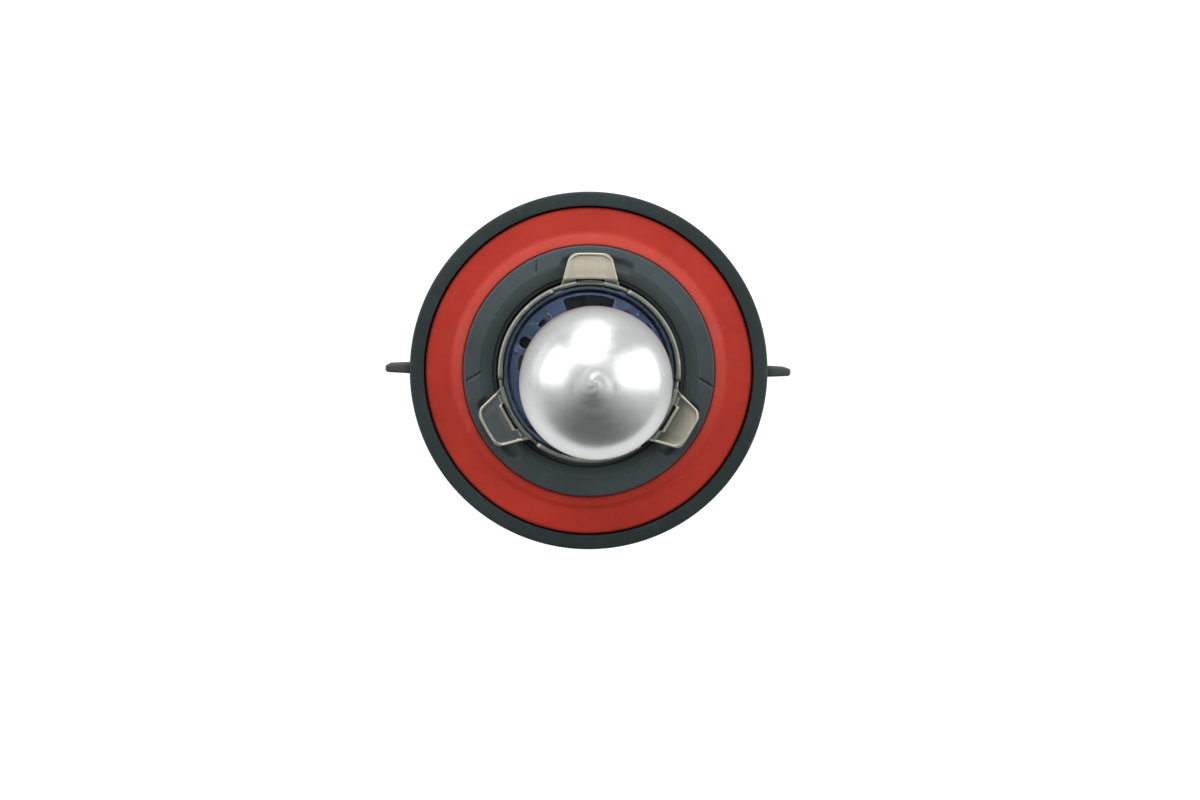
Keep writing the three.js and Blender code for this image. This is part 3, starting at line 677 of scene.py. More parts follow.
def plated_material():
    """Warm grey plating on pressed steel: satin, with rolled edges paler, partly wear and partly a painted highlight;
    one tab's face is painted dark grey as a painted reflection, and another is painted darker towards its root as
    painted shade.
    """
    m = Mat("plated_ring", 0.3, 1.0)
    a = m.noise(180, 5, 0.6, distortion=0.9)
    x, y, z = m.xyz()
    r = m.radius()
    col = m.mix(m.range(a, 0.35, 0.65, 0, 1), lin(114, 120, 113), lin(136, 141, 133))
    tab = m.range(r, 0.01155, 0.0121, 0.0, 1.0)
    face = m.math("MULTIPLY", m.range(z, 0.03594, 0.03586, 0.0, 1.0), m.range(r, 0.0116, 0.01195, 0.0, 1.0))
    col = m.mix(tab, col, m.mix(m.range(a, 0.35, 0.65, 0, 1), lin(196, 191, 173), lin(208, 203, 186)))
    # painted reflection: the face of the tab at 210 degrees (-X side) is painted dark grey
    left_tab_painted_reflection = m.math("MULTIPLY", m.range(x, -0.004, -0.006, 0.0, 1.0), face)
    col = m.mix(m.math("MULTIPLY", left_tab_painted_reflection, 0.94), col, m.mix(m.range(a, 0.3, 0.7, 0, 1), lin(82, 92, 96), lin(96, 104, 106)))
    # painted shade: the face of the tab at 330 degrees is painted darker towards its root
    along = m.math("SUBTRACT", m.math("MULTIPLY", x, math.cos(math.radians(330))), m.math("MULTIPLY", y, -math.sin(math.radians(330))))
    right_tab_painted_shade = m.math("MULTIPLY", m.math("MULTIPLY", m.range(x, 0.004, 0.006, 0.0, 1.0), face), m.range(along, 0.0121, 0.0145, 1.0, 0.1))
    col = m.mix(m.math("MULTIPLY", right_tab_painted_shade, 0.97), col, lin(88, 91, 83))
    tarnish = m.ramp(m.noise(420, 5, 0.7), [(0.55, 0.0), (0.75, 1.0)])
    col = m.mix(m.math("MULTIPLY", tarnish, 0.22), col, lin(120, 112, 94))
    # paler convex edges: partly edge wear, partly a painted highlight along the rolled rims
    col = m.mix(m.math("MULTIPLY", m.edges(0.51, 0.58), 0.45), col, lin(206, 205, 192))
    grain = m.noise(2200, 3, 0.6, co=m.scaled(0.15, 1, 1))
    m.set(Base_Color=col, Roughness=m.range(m.math("ADD", grain, m.math("MULTIPLY", a, 0.4)), 0.45, 0.95, 0.4, 0.54))
    m.bump(m.math("ADD", grain, a), 0.12, 0.01)
    return m.mat


MATS = {
    # the hub's +Y side is painted paler here: painted light
    "hub": plastic("hub_plastic", lin(53, 64, 67), 0.44, grain=0.35, specular=0.5, scuffs=0.2, bloom_and_painted_top_light=0.3, zone=(13.75, 13.3, 0.6, lin(82, 93, 93))),
    "collar": plastic("collar_plastic", lin(37, 49, 49), 0.58, grain=0.5, specular=0.3, zone=(22.8, 23.6, 0.8, lin(74, 79, 78))),
    "housing": plastic("housing_plastic", lin(42, 47, 49), 0.48, grain=0.45),
    "carrier": plastic("carrier_plastic", lin(72, 76, 78), 0.5, grain=0.3),
    "seal": seal_material(),
    "silver": silver_material(),
    "glass": glass_material(),
    "blued": blued_material(),
    "plated": plated_material(),
    "steel": metal("spring_steel", lin(160, 160, 158), 0.3, (1, 1, 0.1)),
    "sleeve": metal("sleeve_steel", lin(120, 128, 128), 0.5, (1, 1, 8)),
    "tungsten": metal("tungsten", lin(98, 96, 94), 0.38, (1, 1, 0.2), bump=0.2),
    "moly": metal("molybdenum", lin(158, 158, 160), 0.3, (1, 1, 0.05)),
    "lead": metal("nickel_lead", lin(172, 168, 156), 0.3, (1, 1, 0.05)),
    "tin": metal("tinned_blade", lin(205, 203, 196), 0.26, (1, 1, 0.08), stain=lin(170, 160, 138)),
}


def dress(ob, body, slot, mats, *nodes):
    """Gives a piece its materials and body and hides the CAD nodes it stands for; the slot argument is not used."""
    index = [p.material_index for p in ob.data.polygons]
    ob.data.materials.clear()
    for m in mats if isinstance(mats, (list, tuple)) else [mats]:
        ob.data.materials.append(m)
    ob.data.polygons.foreach_set("material_index", index if len(ob.data.materials) > 1 else [0] * len(index))
    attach(ob, body)
    if nodes:
        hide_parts(*nodes)
    return ob


def keep(node, mat):
    """Keeps a CAD node's shape and gives it a better material."""
    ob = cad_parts[node]
    for s in ob.material_slots:
        s.material = mat


# ------------------------------------------------------------------ lock collar


def build_collar():
    z = lambda v: v + ZT
    profile = fillet([
        (20.9, z(-15), 0.35), (22.7, z(-15), 0.5), (22.7, z(-2.4), 0.3), (20.9, z(-2.4), 0.15),
        (20.9, z(-7.9), 0.12), (17.0, z(-7.9), 0.3), (17.0, z(-10.4), 0.3), (20.9, z(-10.4), 0.12),
    ])
    ring = lathe("lock_collar_body", profile, 240)
    cutters = []
    for a in (90, 270):
        cutters.append(prism("slot", sector_outline(17.6, 19.9, a - 30 - 4.8, a + 4.8, 0.3, 20), z(-11.4), z(-7.0), 0, 0))
    boolean(ring, cutters, "DIFFERENCE")
    fin = rounded_poly([
        (21.7, -0.7, 0), (22.4, -0.67, 0), (24.4, -0.58, 1.0), (26.0, -0.5, 0.42), (26.0, 0.5, 0.42), (24.4, 0.58, 1.0), (22.4, 0.67, 0), (21.7, 0.7, 0),
    ], 7)
    wings = []
    for a in (0, 180):
        w = prism("wing", fin, z(-13.5), z(-6), 0.3, 0.3, 5)
        wings.append(turned(w, a))
    boolean(ring, wings, "UNION")
    ring.name = "lock_collar_shell"
    return ring


dress(build_collar(), "lock_collar", "collar_plastic", MATS["collar"], "lock_collar")

# ------------------------------------------------------------------ face seal


def build_seal():
    z = lambda v: v + ZT
    profile = fillet([
        (15.95, z(-5.3), 0.2), (20.72, z(-5.3), 0.25), (20.72, z(-2.9), 0.36), (17.6, z(-2.9), 1.2), (17.05, z(-2.62), 0.8), (15.95, z(-2.5), 0.25),
    ], steps=7)

    def warp(x, y, zz):
        # moulded silicone is never quite flat
        if zz < z(-3.6):
            return (x, y, zz)
        a = math.atan2(y, x)
        return (x, y, zz + 0.02 * math.sin(3 * a + 0.7) + 0.012 * math.sin(7 * a + 2.1) - 0.012)

    return lathe("face_seal_ring", profile, 256, warp=warp)


dress(build_seal(), "base", "red_silicone", MATS["seal"], "face_seal")

# ------------------------------------------------------------------ holder hub

POCKETS = [(66.8, 105.0), (195.4, 231.3), (312.4, 343.0)]


def segment_distance(x, y, a, b):
    ax, ay = a; bx, by = b
    dx, dy = bx - ax, by - ay
    t = max(0.0, min(1.0, ((x - ax) * dx + (y - ay) * dy) / (dx * dx + dy * dy)))
    return math.hypot(x - ax - t * dx, y - ay - t * dy)


GROOVES = [
    (polar(13.75, 181.2), polar(15.45, 184.9)),
    (polar(14.1, -3.3), polar(15.7, -6.6)),
    (polar(14.15, 118.6), polar(15.4, 116.1)),
]


def build_hub():
    z = lambda v: v + ZT
    rs = [12.25, 12.33, 12.45, 12.7, 13.0, 13.25, 13.45, 13.55, 13.62, 13.7, 13.8, 13.95, 14.1, 14.25, 14.4, 14.48, 14.54, 14.6, 14.66, 14.72, 14.8, 14.92, 15.05, 15.2, 15.4, 15.6, 15.7, 15.76, 15.81, 15.85, 15.88, 15.895]
    angles = set(round(i * 0.5, 3) for i in range(720))
    for a0, a1 in POCKETS:
        for a in (a0, a1):
            for d in (-1.75, -1.25, -0.75, -0.25, 0.25, 0.75, 1.25, 1.75):
                angles.add(round((a + d) % 360, 3))
    angles = sorted(angles)

    def face(r, a):
        base = -1.8
        if r < 13.6:
            base = -1.8 - (13.6 - r) * 0.95 / 1.35
        # rounded shoulder between the flat and the slope, and a fine raised edge on it
        base -= 0.06 * math.exp(-(((r - 13.6) / 0.16) ** 2))
        base += 0.05 * math.exp(-(((r - 13.85) / 0.12) ** 2)) * (0.35 + 0.65 * smoothstep(0.2, -0.6, math.sin(math.radians(a))))
        if r > 15.7:
            t = min(1.0, (r - 15.7) / 0.2)
            base -= 0.2 * (1 - math.sqrt(max(0.0, 1 - t * t)))
        if r < 12.45:
            base -= (12.45 - r) ** 2 * 1.2
        x, y = polar(r, a)
        pocket = 0.0
        for a0, a1 in POCKETS:
            m = (a0 + a1) / 2
            d = abs((a - m + 180) % 360 - 180) - (a1 - a0) / 2  # degrees outside the pocket
            q0, q1 = d * math.radians(1) * r + 0.9, r - 14.6 + 0.9
            dist = min(max(q0, q1), 0.0) + math.hypot(max(q0, 0.0), max(q1, 0.0)) - 0.9
            pocket = max(pocket, 1 - smoothstep(-0.6, 0.35, dist))
        floor = min(base, -2.25)
        h = base + (floor - base) * pocket
        if pocket < 0.01:
            for g in GROOVES:
                d = segment_distance(x, y, *g)
                h -= 0.22 * (1 - smoothstep(0.03, 0.16, d))
        return h

    def section(a):
        pts = [(10.9, z(-13.1)), (10.9, z(-8.5)), (11.0, z(-8.4)), (11.75, z(-8.4)), (11.75, z(-6)), (11.75, z(-4.0)), (11.8, z(-3.87)), (11.9, z(-3.82)), (12.05, z(-3.8)), (12.18, z(-3.7)), (12.25, z(-3.2))]
        pts += [(r, z(face(r, a))) for r in rs]
        pts += [(15.9, z(-2.2)), (15.9, z(-3.5)), (15.9, z(-5.6)), (19.95, z(-5.6)), (20.12, z(-5.67)), (20.2, z(-5.85)), (20.2, z(-7.35)), (20.12, z(-7.53)), (19.95, z(-7.6)), (16.6, z(-7.6)), (16.6, z(-12.8)), (16.3, z(-13.1))]
        return pts

    hub = angular("holder_hub_moulding", angles, section, degrees=38)
    lugs = [prism("lug", sector_outline(17.9, 19.5, a - 4, a + 4, 0.3, 8), z(-10.2), z(-7.4), 0, 0.25) for a in (90, 270)]
    boolean(hub, lugs, "UNION", degrees=38)
    return hub


dress(build_hub(), "base", "hub_plastic", MATS["hub"], "holder_hub")

# ------------------------------------------------------------------ prefocus ring

TABS = (90, 210, 330)


def formed_tab(name, lip=0.0):
    """One pressed tab along +X: a raised rolled rim on three sides, a dished face with two faint creases, a lip at the slot."""
    z = lambda v: v + ZT
    # half width along the tab, with rounded tip corners
    tip, corner = 14.95, 0.95

    def half(x):
        w = 3.74 - (x - 10.4) * 1.13 / 4.55
        if x > tip - corner:
            t = (x - (tip - corner)) / corner
            w -= corner * 0.8 * (1 - math.sqrt(max(0.0, 1 - t * t)))
        return w

    def tip_of(v):
        return 0.12 * v * v  # the end is a shallow arc

    nx, ny = 84, 76
    xs = [10.4 + (tip - 10.4) * (1 - (1 - i / nx) ** 1.25) for i in range(nx + 1)]
    vs = [math.sin(math.pi / 2 * (2 * j / ny - 1)) * 0.45 + (2 * j / ny - 1) * 0.55 for j in range(ny + 1)]

    def top(x, y):
        side = half(min(x, tip - 0.3)) - abs(y)
        end = tip - x
        d = min(side, end)
        if side < 1.1 and end < 1.1:  # round the rim through the corner
            d = 1.1 - math.hypot(1.1 - side, 1.1 - end)
        d = max(0.0, d)
        h = -0.1 * (1 - math.sqrt(max(0.0, 1 - (1 - min(1.0, d / 0.14)) ** 2)))
        h -= 0.17 * smoothstep(0.25, 0.45, d)
        # a face a little proud between two soft creases
        h += 0.035 * smoothstep(2.3, 1.35, abs(y - 0.1)) * smoothstep(0.4, 1.0, d)
        h -= 0.05 * smoothstep(12.4, 14.4, x) * smoothstep(0.4, 1.0, d)
        # rolled lip on the slot's outer side
        along = smoothstep(1.92, 1.78, abs(y))
        h += (lip - h) * smoothstep(0.26, 0.1, abs(x - 11.83)) * along
        # bend down to the wall at the root
        h -= 0.32 * smoothstep(11.75, 10.95, x) * smoothstep(0.0, 0.5, half(x) - abs(y) + 0.25)
        return h

    verts, faces = [], []
    rows = []
    for i, x in enumerate(xs):
        row = []
        for v in vs:
            w = half(x)
            y = v * w
            xx = x - tip_of(v * w / 2.6) * smoothstep(tip - 1.6, tip, x)
            row.append(len(verts))
            verts.append((xx, y, z(top(x, y))))
        rows.append(row)
    m = len(verts)
    # underside, with a small rounding at its edge
    for i, x in enumerate(xs):
        for v in vs:
            w = half(x)
            y = v * w
            xx = x - tip_of(v * w / 2.6) * smoothstep(tip - 1.6, tip, x)
            d = min(w - abs(y), tip - x)
            verts.append((xx, y, z(-0.7 + 0.1 * (1 - math.sqrt(max(0.0, 1 - (1 - min(1.0, d / 0.15)) ** 2))))))
    n = len(vs)
    for i in range(nx):
        for j in range(ny):
            a, b, c, d = rows[i][j], rows[i + 1][j], rows[i + 1][j + 1], rows[i][j + 1]
            faces.append([a, b, c, d])
            faces.append([a + m, d + m, c + m, b + m])
    border = [rows[i][0] for i in range(nx + 1)] + [rows[nx][j] for j in range(1, ny + 1)] + [rows[i][ny] for i in range(nx - 1, -1, -1)] + [rows[0][j] for j in range(ny - 1, 0, -1)]
    for k in range(len(border)):
        a, b = border[k], border[(k + 1) % len(border)]
        faces.append([a, a + m, b + m, b])
    return make(name, verts, faces, degrees=50)


def build_ring():
    z = lambda v: v + ZT
    angles = set(round(i * 1.0, 3) for i in range(360))
    edges = []
    for a in TABS:
        edges += [a - 24.5, a - 19.7, a + 19.7, a + 24.5]
    for e in edges:
        for d in (-0.8, -0.45, -0.2, -0.06, 0.06, 0.2, 0.45, 0.8):
            angles.add(round((e + d) % 360, 3))
    angles = sorted(angles)

    def height(a):
        for t in TABS:
            d = abs((a - t + 180) % 360 - 180)
            if d < 19.7:
                return -0.18
            if d < 24.5:
                return -1.6
            if d < 27.5:
                # the rim's end is rounded off beside the notch
                return 0.9 - 0.5 * (1 - math.sqrt(max(0.0, 1 - ((27.5 - d) / 3.0) ** 2)))
        return 0.9

    def section(a):
        h = height(a)
        return [(10.85, z(-8)), (11.5, z(-8)), (11.5, z(-4)), (11.5, z(h - 0.3)), (11.47, z(h - 0.14)), (11.38, z(h - 0.04)), (11.26, z(h)), (11.09, z(h)), (10.97, z(h - 0.04)), (10.88, z(h - 0.14)), (10.85, z(h - 0.3)), (10.85, z(-4))]

    wall = angular("ring_wall", angles, section, degrees=40)
    tabs = [turned(formed_tab("tab", -0.12 if a == 90 else 0.0), a) for a in TABS]
    ring = boolean(wall, tabs, "UNION", degrees=40)
    trim = prism("trim", disc(10.85, 180), z(-9), z(3), 0, 0)
    slots = [turned(prism("slot", rect(0.5, 3.7, 0.22, 11.4, 0.0), z(-1.3), z(2), 0, 0), a) for a in TABS]
    boolean(ring, [trim] + slots, "DIFFERENCE", degrees=40)
    ring.name = "prefocus_ring_metal"
    return ring


dress(build_ring(), "base", "plated_ring", MATS["plated"], "prefocus_ring")

# ------------------------------------------------------------------ retainer plate


def build_retainer():
    z = lambda v: v + ZT
    outlines = [disc(10.15, 180), disc(5.9, 96)[::-1]]
    for a in TABS:
        outlines.append(sector_outline(7.4, 9.55 if a == 90 else 9.0, a - 19.3, a + 20.7, 0.3)[::-1])
    for a in (156.5, 276.5, 36.5):
        outlines.append(disc(0.7, 28, *polar(8.85, a))[::-1])
    for a in (135, 255, 15):
        outlines.append(sector_outline(7.9, 8.7, a - 3.5, a + 3.5, 0.15, 4)[::-1])
    for a in (174, 294, 54):
        outlines.append(sector_outline(7.9, 8.9, a - 6.5, a + 6.5, 0.2, 6)[::-1])
    top = plate("plate", outlines, z(-2.0), z(-1.4), 0.12, 3)
    skirt = lathe("skirt", fillet([
        (10.1, z(-4.4), 0.1), (10.83, z(-4.4), 0.12), (10.83, z(-0.75), 0.14), (10.36, z(-0.75), 0.2), (10.14, z(-1.12), 0.12), (9.94, z(-1.36), 0.06), (9.98, z(-1.9), 0.05), (10.1, z(-2.0), 0.05),
    ]), 200)
    dimples = []
    for r, a in ((8.75, 126.5), (9.45, 49.0), (8.9, 247), (9.6, 166), (9.4, 7.5), (9.6, 287)):
        pts = [(0, -1.55), (0.34, -1.52), (0.3, -1.36), (0.16, -1.29), (0, -1.27)]
        d = lathe("dimple", [(0, z(pts[0][1]))] + [(p[0], z(p[1])) for p in pts[1:]], 24, closed=False)
        x, y = polar(r, a)
        dimples.append(moved(d, Matrix.Translation((x * MM, y * MM, 0))))
    return join("capsule_retainer_plate", [top, skirt] + dimples, 30)


dress(build_retainer(), "base", "blued_steel", MATS["blued"], "capsule_retainer")

# ------------------------------------------------------------------ glass


def build_glass():
    z = lambda v: v + ZT
    outer, inner = [], []
    for i in range(13):
        t = math.pi / 2 * i / 12
        outer.append((4.7 + 3.8 * math.sin(t), -0.9 + 5.9 * (1 - math.cos(t))))
        inner.append((3.6 + 3.8 * math.sin(t), -0.9 + 6.5 * (1 - math.cos(t))))
    for k in range(1, 24):
        outer.append((8.5, 5 + 31 * k / 24))
    n = 40
    for i in range(n + 1):
        t = math.radians(76 * i / n)
        outer.append((8.5 * math.cos(t), 36 + 8.8 * math.sin(t)))
    # the sealed-off exhaust tip: a low soft mound, a trace of a dip round it
    def crown(r):
        return 36 + 8.8 * math.sqrt(max(0.0, 1 - (r / 8.5) ** 2))

    outer = [p for p in outer if not (p[1] > 36.0 and p[0] < 2.6)]
    outer += [(r, crown(r)) for r in [2.6 * (1 - k / 30) for k in range(31)]]
    outer[-1] = (0.0, crown(0.0))
    for k in range(1, 12):
        inner.append((7.4, 5.6 + 30.4 * k / 12))
    for i in range(25):
        t = math.pi / 2 * i / 24
        inner.append((7.4 * math.cos(t) if i < 24 else 0.0, 36 + 7.0 * math.sin(t)))
    profile = [(r, z(h)) for r, h in outer[::-1]] + [(r, z(h)) for r, h in inner]

    def warp(x, y, zz):
        w = smoothstep(z(41.0), z(44.4), zz)
        r = math.hypot(x, y)
        a = math.atan2(y, x)
        k = 1.0
        if zz > z(38) and r > 1.0:
            k += 0.004 * math.sin(2 * a + 0.4) * smoothstep(z(38), z(42), zz)
        if zz > z(43.6):
            # the sealed-off end sits a little to one side: a low mound, a smaller one on it, a trace of a dip below
            d = math.hypot(x, y + 0.55)
            zz += 0.175 * (1 - smoothstep(0.1, 2.15, d)) - 0.03 * math.exp(-(((d - 2.2) / 0.35) ** 2)) * smoothstep(0.4, -0.8, y)
            zz += 0.035 * (1 - smoothstep(0.0, 0.75, math.hypot(x, y - 0.1)))
            zz += 0.012 * math.sin(3 * a + 5.5 * r) * (1 - smoothstep(0.6, 2.2, r))
        return (x * k - 0.45 * w, y * k + 0.35 * w, min(zz, z(45)))

    glass = lathe("glass_bulb", profile, 192, closed=False, warp=warp, degrees=60)
    # the coat covers the dome and the top of the tube, on the outside
    mesh = glass.data
    for p in mesh.polygons:
        c = p.center / MM
        out = math.hypot(c.x, c.y) > 7.9 or (c.z - ZT > 36 and (c.x / 8.0) ** 2 + (c.y / 8.0) ** 2 + ((c.z - ZT - 36) / 7.55) ** 2 > 1)
        p.material_index = 1 if c.z - ZT > 30.9 and out else 0
    return glass


dress(build_glass(), "base", "clear_glass", [MATS["glass"], MATS["silver"]], "glass_envelope")
keep("glass_pinch", MATS["glass"])

# ------------------------------------------------------------------ filaments, shield and wires


def coil_path(radius, turns, z0, z1, y):
    pts = [(0, y, z0 - 0.9 + 0.15 * i) for i in range(4)]
    n = int(turns * 28)
    for i in range(n + 1):
        a = TAU * i / 28
        grow = min(1.0, i / 14, (n - i) / 14)
        pts.append((radius * grow * math.cos(a), y + radius * grow * math.sin(a), z0 + (z1 - z0) * i / n))
    pts += [(0, y, z1 + 0.45 + 0.15 * i) for i in range(4)]
    return [(x, yy, zz + ZT) for x, yy, zz in pts]


main = tube("main_beam_coil", coil_path(0.75, 12, 26.5, 31.3, 0.0), 0.11, 8)
dress(main, "base", "tungsten", MATS["tungsten"], "main_beam_filament")
day = tube("daytime_coil", coil_path(0.6, 11, 15.6, 20.0, 0.5), 0.1, 8)
dress(day, "base", "tungsten", MATS["tungsten"], "daytime_filament")

WIRES = {
    "main_support_wire": [(-2.8, 0, -4.2), (-2.8, 0, -1), (-3.2, 0.4, 3), (-4.6, 1, 10), (-4.6, 1, 20), (-3.6, 0.8, 24), (-1.2, 0.3, 25.2), (-0.55, 0.1, 25.4)],
    "daytime_support_wire": [(2.8, 0, -4.2), (2.8, 0, -1), (2.6, 0.3, 4), (1.9, 0.5, 10), (1.4, 0.5, 13), (0.55, 0.5, 14.4)],
    "common_support_wire": [(0, 0, -4.2), (0, 0, -1), (0, -1, 2), (0, -3.4, 7.5), (0, -3.75, 11), (0, -3.75, 24), (0, -3.75, 30), (0, -3.1, 32.6), (0, -1.2, 33.3), (0, -0.55, 33.3)],
}
for node, pts in WIRES.items():
    w = tube(node.replace("_wire", "_rod"), smooth_path([(x, y, zz + ZT) for x, y, zz in pts], 10), 0.35, 16)
    dress(w, "base", "molybdenum", MATS["moly"], node)


def build_shield():
    verts, faces = [], []
    rows = []
    stations = [(13.6, 1.0), (14.2, 1.0), (16, 1.0), (18, 1.0), (19.6, 1.0)]
    for k in range(1, 13):
        t = math.pi / 2 * k / 12
        stations.append((19.6 + 2.6 * math.sin(t), math.cos(t)))
    n = 28
    for h, s in stations:
        rows.append(len(verts))
        for j in range(n + 1):
            a = math.pi + math.pi * j / n
            verts.append((2.95 * s * math.cos(a), 2.95 * s * math.sin(a), h + ZT))
    for i in range(len(rows) - 1):
        for j in range(n):
            faces.append([rows[i] + j, rows[i] + j + 1, rows[i + 1] + j + 1, rows[i + 1] + j])
    ob = make("filament_shield_cup", verts, faces)
    m = ob.modifiers.new("wall", "SOLIDIFY")
    m.thickness = 0.3 * MM
    m.offset = 0
    settle(ob)
    return bevel(ob, 0.08, 2, 50)


dress(build_shield(), "base", "molybdenum", MATS["moly"], "filament_shield")

for name in ("main", "daytime", "common"):
    keep(f"{name}_foil", MATS["moly"])
    keep(f"{name}_outer_lead", MATS["lead"])
keep("base_sleeve", MATS["sleeve"])
keep("pinch_clip", MATS["steel"])

# ------------------------------------------------------------------ rear housing and connector


def build_housing():
    body = lathe("rear_housing_body", fillet([
        (0, 12.5), (15.6, 12.5, 0.8), (15.6, 20.8, 0.5), (20.2, 20.8, 0.6), (20.2, 25.3, 0.3), (16.9, 25.3, 0.2),
        (16.9, 22.6, 0.1), (13.6, 22.6, 0.3), (13.6, 14.5, 0.4), (0, 14.5),
    ], closed=False), 192, closed=False)
    adds = []
    # stiffening ribs under the flange
    for i in range(8):
        pts = rounded_poly([(15.2, 15.2, 0), (15.9, 15.2, 0.3), (19.2, 20.5, 0.4), (19.2, 21.2, 0), (15.2, 21.2, 0)], 4)
        rib = prism("rib", pts, -0.55, 0.55, 0.18, 0.18, 3)
        # the outline's second coordinate is the height
        rib = moved(rib, Matrix(((1, 0, 0, 0), (0, 0, -1, 0), (0, 1, 0, 0), (0, 0, 0, 1))))
        adds.append(turned(rib, 22.5 + 45 * i))
    # shroud: outer wall, rounded rim, inner wall and floor in one closed body
    outer, inner = rect(27, 15, 2.6, steps=10), rect(24.2, 12.2, 1.2, steps=10)
    loops = [(13.0, outer, 0.0)]
    loops.append((0.45, outer, 0.0))
    for k in range(1, 6):
        t = math.pi / 2 * k / 5
        loops.append((0.45 * (1 - math.sin(t)), outer, 0.45 * (1 - math.cos(t))))
    for k in range(0, 6):
        t = math.pi / 2 * k / 5
        loops.append((0.45 * (1 - math.cos(t)), inner, -0.45 * (1 - math.sin(t))))
    loops.append((12.1, inner, 0.0))
    for k in range(1, 5):
        t = math.pi / 2 * k / 4
        loops.append((12.1 + 0.4 * math.sin(t), inner, 0.4 * (1 - math.cos(t))))
    verts, faces = [], []
    n = len(outer)
    for h, o, d in loops:
        verts += [(x, y, h) for x, y in (offset_outline(o, d) if d else o)]
    for i in range(len(loops) - 1):
        for j in range(n):
            l = (j + 1) % n
            faces.append([i * n + j, i * n + l, (i + 1) * n + l, (i + 1) * n + j])
    faces.append(list(range(n)))
    faces.append([(len(loops) - 1) * n + j for j in range(n)][::-1])
    shroud = make("shroud", verts, faces)
    adds.append(shroud)
    # latch ramp and keying ribs
    pts = rounded_poly([(7.2, 2.2, 0), (7.55, 2.2, 0.2), (9.0, 5.1, 0.3), (9.0, 6.0, 0.25), (7.2, 6.0, 0)], 4)
    ramp = prism("ramp", pts, -3, 3, 0.2, 0.2, 3)
    adds.append(moved(ramp, Matrix(((0, 0, 1, 0), (1, 0, 0, 0), (0, 1, 0, 0), (0, 0, 0, 1)))))
    for x in (-7.5, 7.5):
        adds.append(prism("key", rounded_poly([(x - 0.6, -8.5, 0.25), (x + 0.6, -8.5, 0.25), (x + 0.6, -7.0, 0), (x - 0.6, -7.0, 0)], 4), 1.2, 12.8, 0, 0.25, 3))
    boolean(body, adds, "UNION")
    boolean(body, [prism("seat", rect(20.2, 8.6, 0.4), 11.0, 16.0, 0, 0), prism("well", rect(23.4, 11.4, 0.8), 1.0, 12.49, 0, 0)], "DIFFERENCE")
    body.name = "rear_housing_moulding"
    return body


dress(build_housing(), "base", "housing_plastic", MATS["housing"], "rear_housing")


def build_carrier():
    lower = prism("carrier_lower", rect(19.6, 8.0, 0.4), 12.5, 15.3, 0, 0.15)
    flange = prism("carrier_flange", rect(21.6, 10.0, 0.6), 14.8, 15.9, 0.15, 0.15)
    boolean(lower, [flange], "UNION")
    cuts = []
    for x in (-7, 0, 7):
        cuts.append(prism("cut", rect(1.4, 6.9, 0.2, x, 0), 11, 17, 0, 0))
        lead = 0.95 if x == 0 else x - math.copysign(0.95, x)
        cuts.append(prism("cut", disc(0.78, 24, lead, 0), 15, 17, 0, 0))
    boolean(lower, cuts, "DIFFERENCE")
    lower.name = "terminal_carrier_block"
    return lower


dress(build_carrier(), "base", "carrier_plastic", MATS["carrier"], "terminal_carrier")


def build_blade(name, x):
    h = 3.15
    outline = rounded_poly([
        (-2.15, 1.6, 0.2), (2.15, 1.6, 0.2), (h, 3.0, 0.3), (h, 16.4, 0.3), (1.4, 17.2, 0.3), (1.4, 19.0, 0.3),
        (-1.4, 19.0, 0.3), (-1.4, 17.2, 0.3), (-h, 16.4, 0.3), (-h, 3.0, 0.3),
    ], 4)
    hole = disc(0.8, 28, 0, 6.4)
    b = plate(name, [outline, hole[::-1]], -0.4, 0.4, 0.12, 3)
    # pressed flat: (width, height, thickness) becomes (y, z, x)
    return moved(b, Matrix(((0, 0, 1, x * MM), (1, 0, 0, 0), (0, 1, 0, 0), (0, 0, 0, 1))))


for name, x in (("main", -7.0), ("common", 0.0), ("daytime", 7.0)):
    dress(build_blade(f"{name}_blade", x), "base", "tinned_blade", MATS["tin"], f"{name}_terminal")

# ------------------------------------------------------------------ stage and light


def stage():
    n = 64
    verts = [(0, 0, 0)] + [(3000 * math.cos(TAU * i / n), 3000 * math.sin(TAU * i / n), 0) for i in range(n)]
    floor = make("floor", verts, [[0, 1 + i, 1 + (i + 1) % n] for i in range(n)])
    m = Mat("floor", 0.9)
    m.set(Base_Color=(0.25, 0.25, 0.25, 1.0), Specular_IOR_Level=0.0, Emission_Color=(1.0, 1.0, 1.0, 1.0), Emission_Strength=0.93)
    if floor.data.polygons[0].normal.z < 0:
        floor.data.flip_normals()
    # clear from below, so that the underside can be looked at
    clear = m.nt.nodes.new("ShaderNodeBsdfTransparent")
    back = m.nt.nodes.new("ShaderNodeNewGeometry")
    pick = m.nt.nodes.new("ShaderNodeMixShader")
    m.link(back.outputs["Backfacing"], pick.inputs[0])
    m.link(m.bsdf.outputs[0], pick.inputs[1])
    m.link(clear.outputs[0], pick.inputs[2])
    m.link(pick.outputs[0], m.out.inputs[0])
    floor.data.materials.append(m.mat)
    floor.visible_glossy = False


stage()


def softbox(name, azimuth, distance, height, width, tall, watts, look=(0, 0, 0.05), colour=(1, 1, 1)):
    data = bpy.data.lights.new(name, "AREA")
    data.shape = "RECTANGLE"
    data.size, data.size_y = width, tall
    data.energy = watts
    data.color = colour
    ob = bpy.data.objects.new(name, data)
    a = math.radians(azimuth)
    ob.location = (distance * math.cos(a), distance * math.sin(a), height)
    ob.rotation_euler = (Vector(look) - ob.location).to_track_quat("-Z", "Y").to_euler()
    ob.visible_camera = False
    bpy.context.scene.collection.objects.link(ob)
    return ob


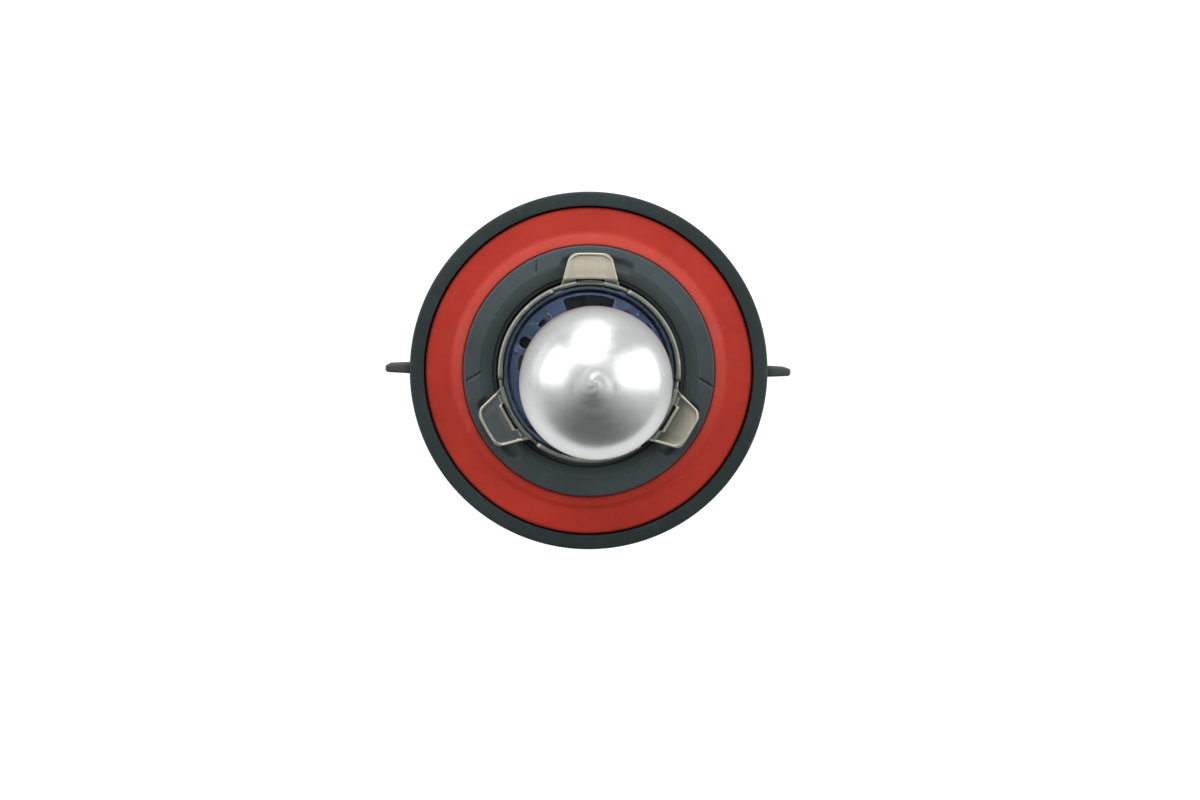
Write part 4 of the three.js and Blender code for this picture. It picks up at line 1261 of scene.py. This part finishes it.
softbox("box_top", 96, 0.20, 0.156, 0.165, 0.32, 0.34, look=(0, 0, 0.07))
softbox("box_left", 158, 0.20, 0.130, 0.185, 0.26, 0.21, look=(0, 0, 0.07))
softbox("box_right", 15, 0.20, 0.136, 0.165, 0.28, 0.21, look=(0, 0, 0.07))

world = bpy.data.worlds.new("studio")
bpy.context.scene.world = world
world.use_nodes = True
wt = world.node_tree
wt.nodes.clear()


def wnode(kind, **inputs):
    n = wt.nodes.new(kind)
    for key, value in inputs.items():
        n.inputs[int(key[1:])].default_value = value
    return n


def wmath(op, a, b=None):
    n = wt.nodes.new("ShaderNodeMath")
    n.operation = op
    for value, socket in ((a, n.inputs[0]), (b, n.inputs[1])):
        if isinstance(value, bpy.types.NodeSocket):
            wt.links.new(value, socket)
        elif value is not None:
            socket.default_value = value
    return n.outputs[0]


def wstep(value, a, b, c, d):
    n = wt.nodes.new("ShaderNodeMapRange")
    n.interpolation_type = "SMOOTHSTEP"
    for i, v in enumerate((a, b, c, d), 1):
        n.inputs[i].default_value = v
    wt.links.new(value, n.inputs[0])
    return n.outputs[0]


# a pale room with one dim side, behind the photographer's place
tc = wt.nodes.new("ShaderNodeTexCoord")
sep = wt.nodes.new("ShaderNodeSeparateXYZ")
wt.links.new(tc.outputs["Generated"], sep.inputs[0])
X, Y, Z = sep.outputs
flat = wmath("SQRT", wmath("ADD", wmath("ADD", wmath("MULTIPLY", X, X), wmath("MULTIPLY", Y, Y)), 1e-6))
side = wmath("DIVIDE", wmath("ADD", wmath("MULTIPLY", X, math.cos(math.radians(268))), wmath("MULTIPLY", Y, math.sin(math.radians(268)))), flat)
up = wstep(Z, -0.42, -0.2, 0.0, 1.0)
dim = wmath("MULTIPLY", wmath("MULTIPLY", wstep(side, 0.28, 1.05, 0.0, 1.0), wstep(flat, 0.1, 0.6, 0.0, 1.0)), up)
ground = wmath("MULTIPLY", wmath("SUBTRACT", 1.0, up), wmath("ADD", wstep(side, -0.2, 0.8, 0.0, 0.4), wstep(Z, -0.9, -0.6, -0.2, 0.0)))
level = wmath("ADD", wmath("SUBTRACT", 0.62, wmath("MULTIPLY", dim, 0.49)), ground)
comb = wt.nodes.new("ShaderNodeCombineColor")
for i in range(3):
    wt.links.new(level, comb.inputs[i])
bg = wt.nodes.new("ShaderNodeBackground")
wt.links.new(comb.outputs[0], bg.inputs[0])
seen = wt.nodes.new("ShaderNodeBackground")
seen.inputs[0].default_value = (0.8, 0.81, 0.82, 1)
path = wt.nodes.new("ShaderNodeLightPath")
pick = wt.nodes.new("ShaderNodeMixShader")
wt.links.new(path.outputs["Is Camera Ray"], pick.inputs[0])
wt.links.new(bg.outputs[0], pick.inputs[1])
wt.links.new(seen.outputs[0], pick.inputs[2])
wo = wt.nodes.new("ShaderNodeOutputWorld")
wt.links.new(pick.outputs[0], wo.inputs[0])

scene = bpy.context.scene
scene.view_settings.view_transform = "Standard"
scene.view_settings.look = "None"
scene.view_settings.exposure = 0.0
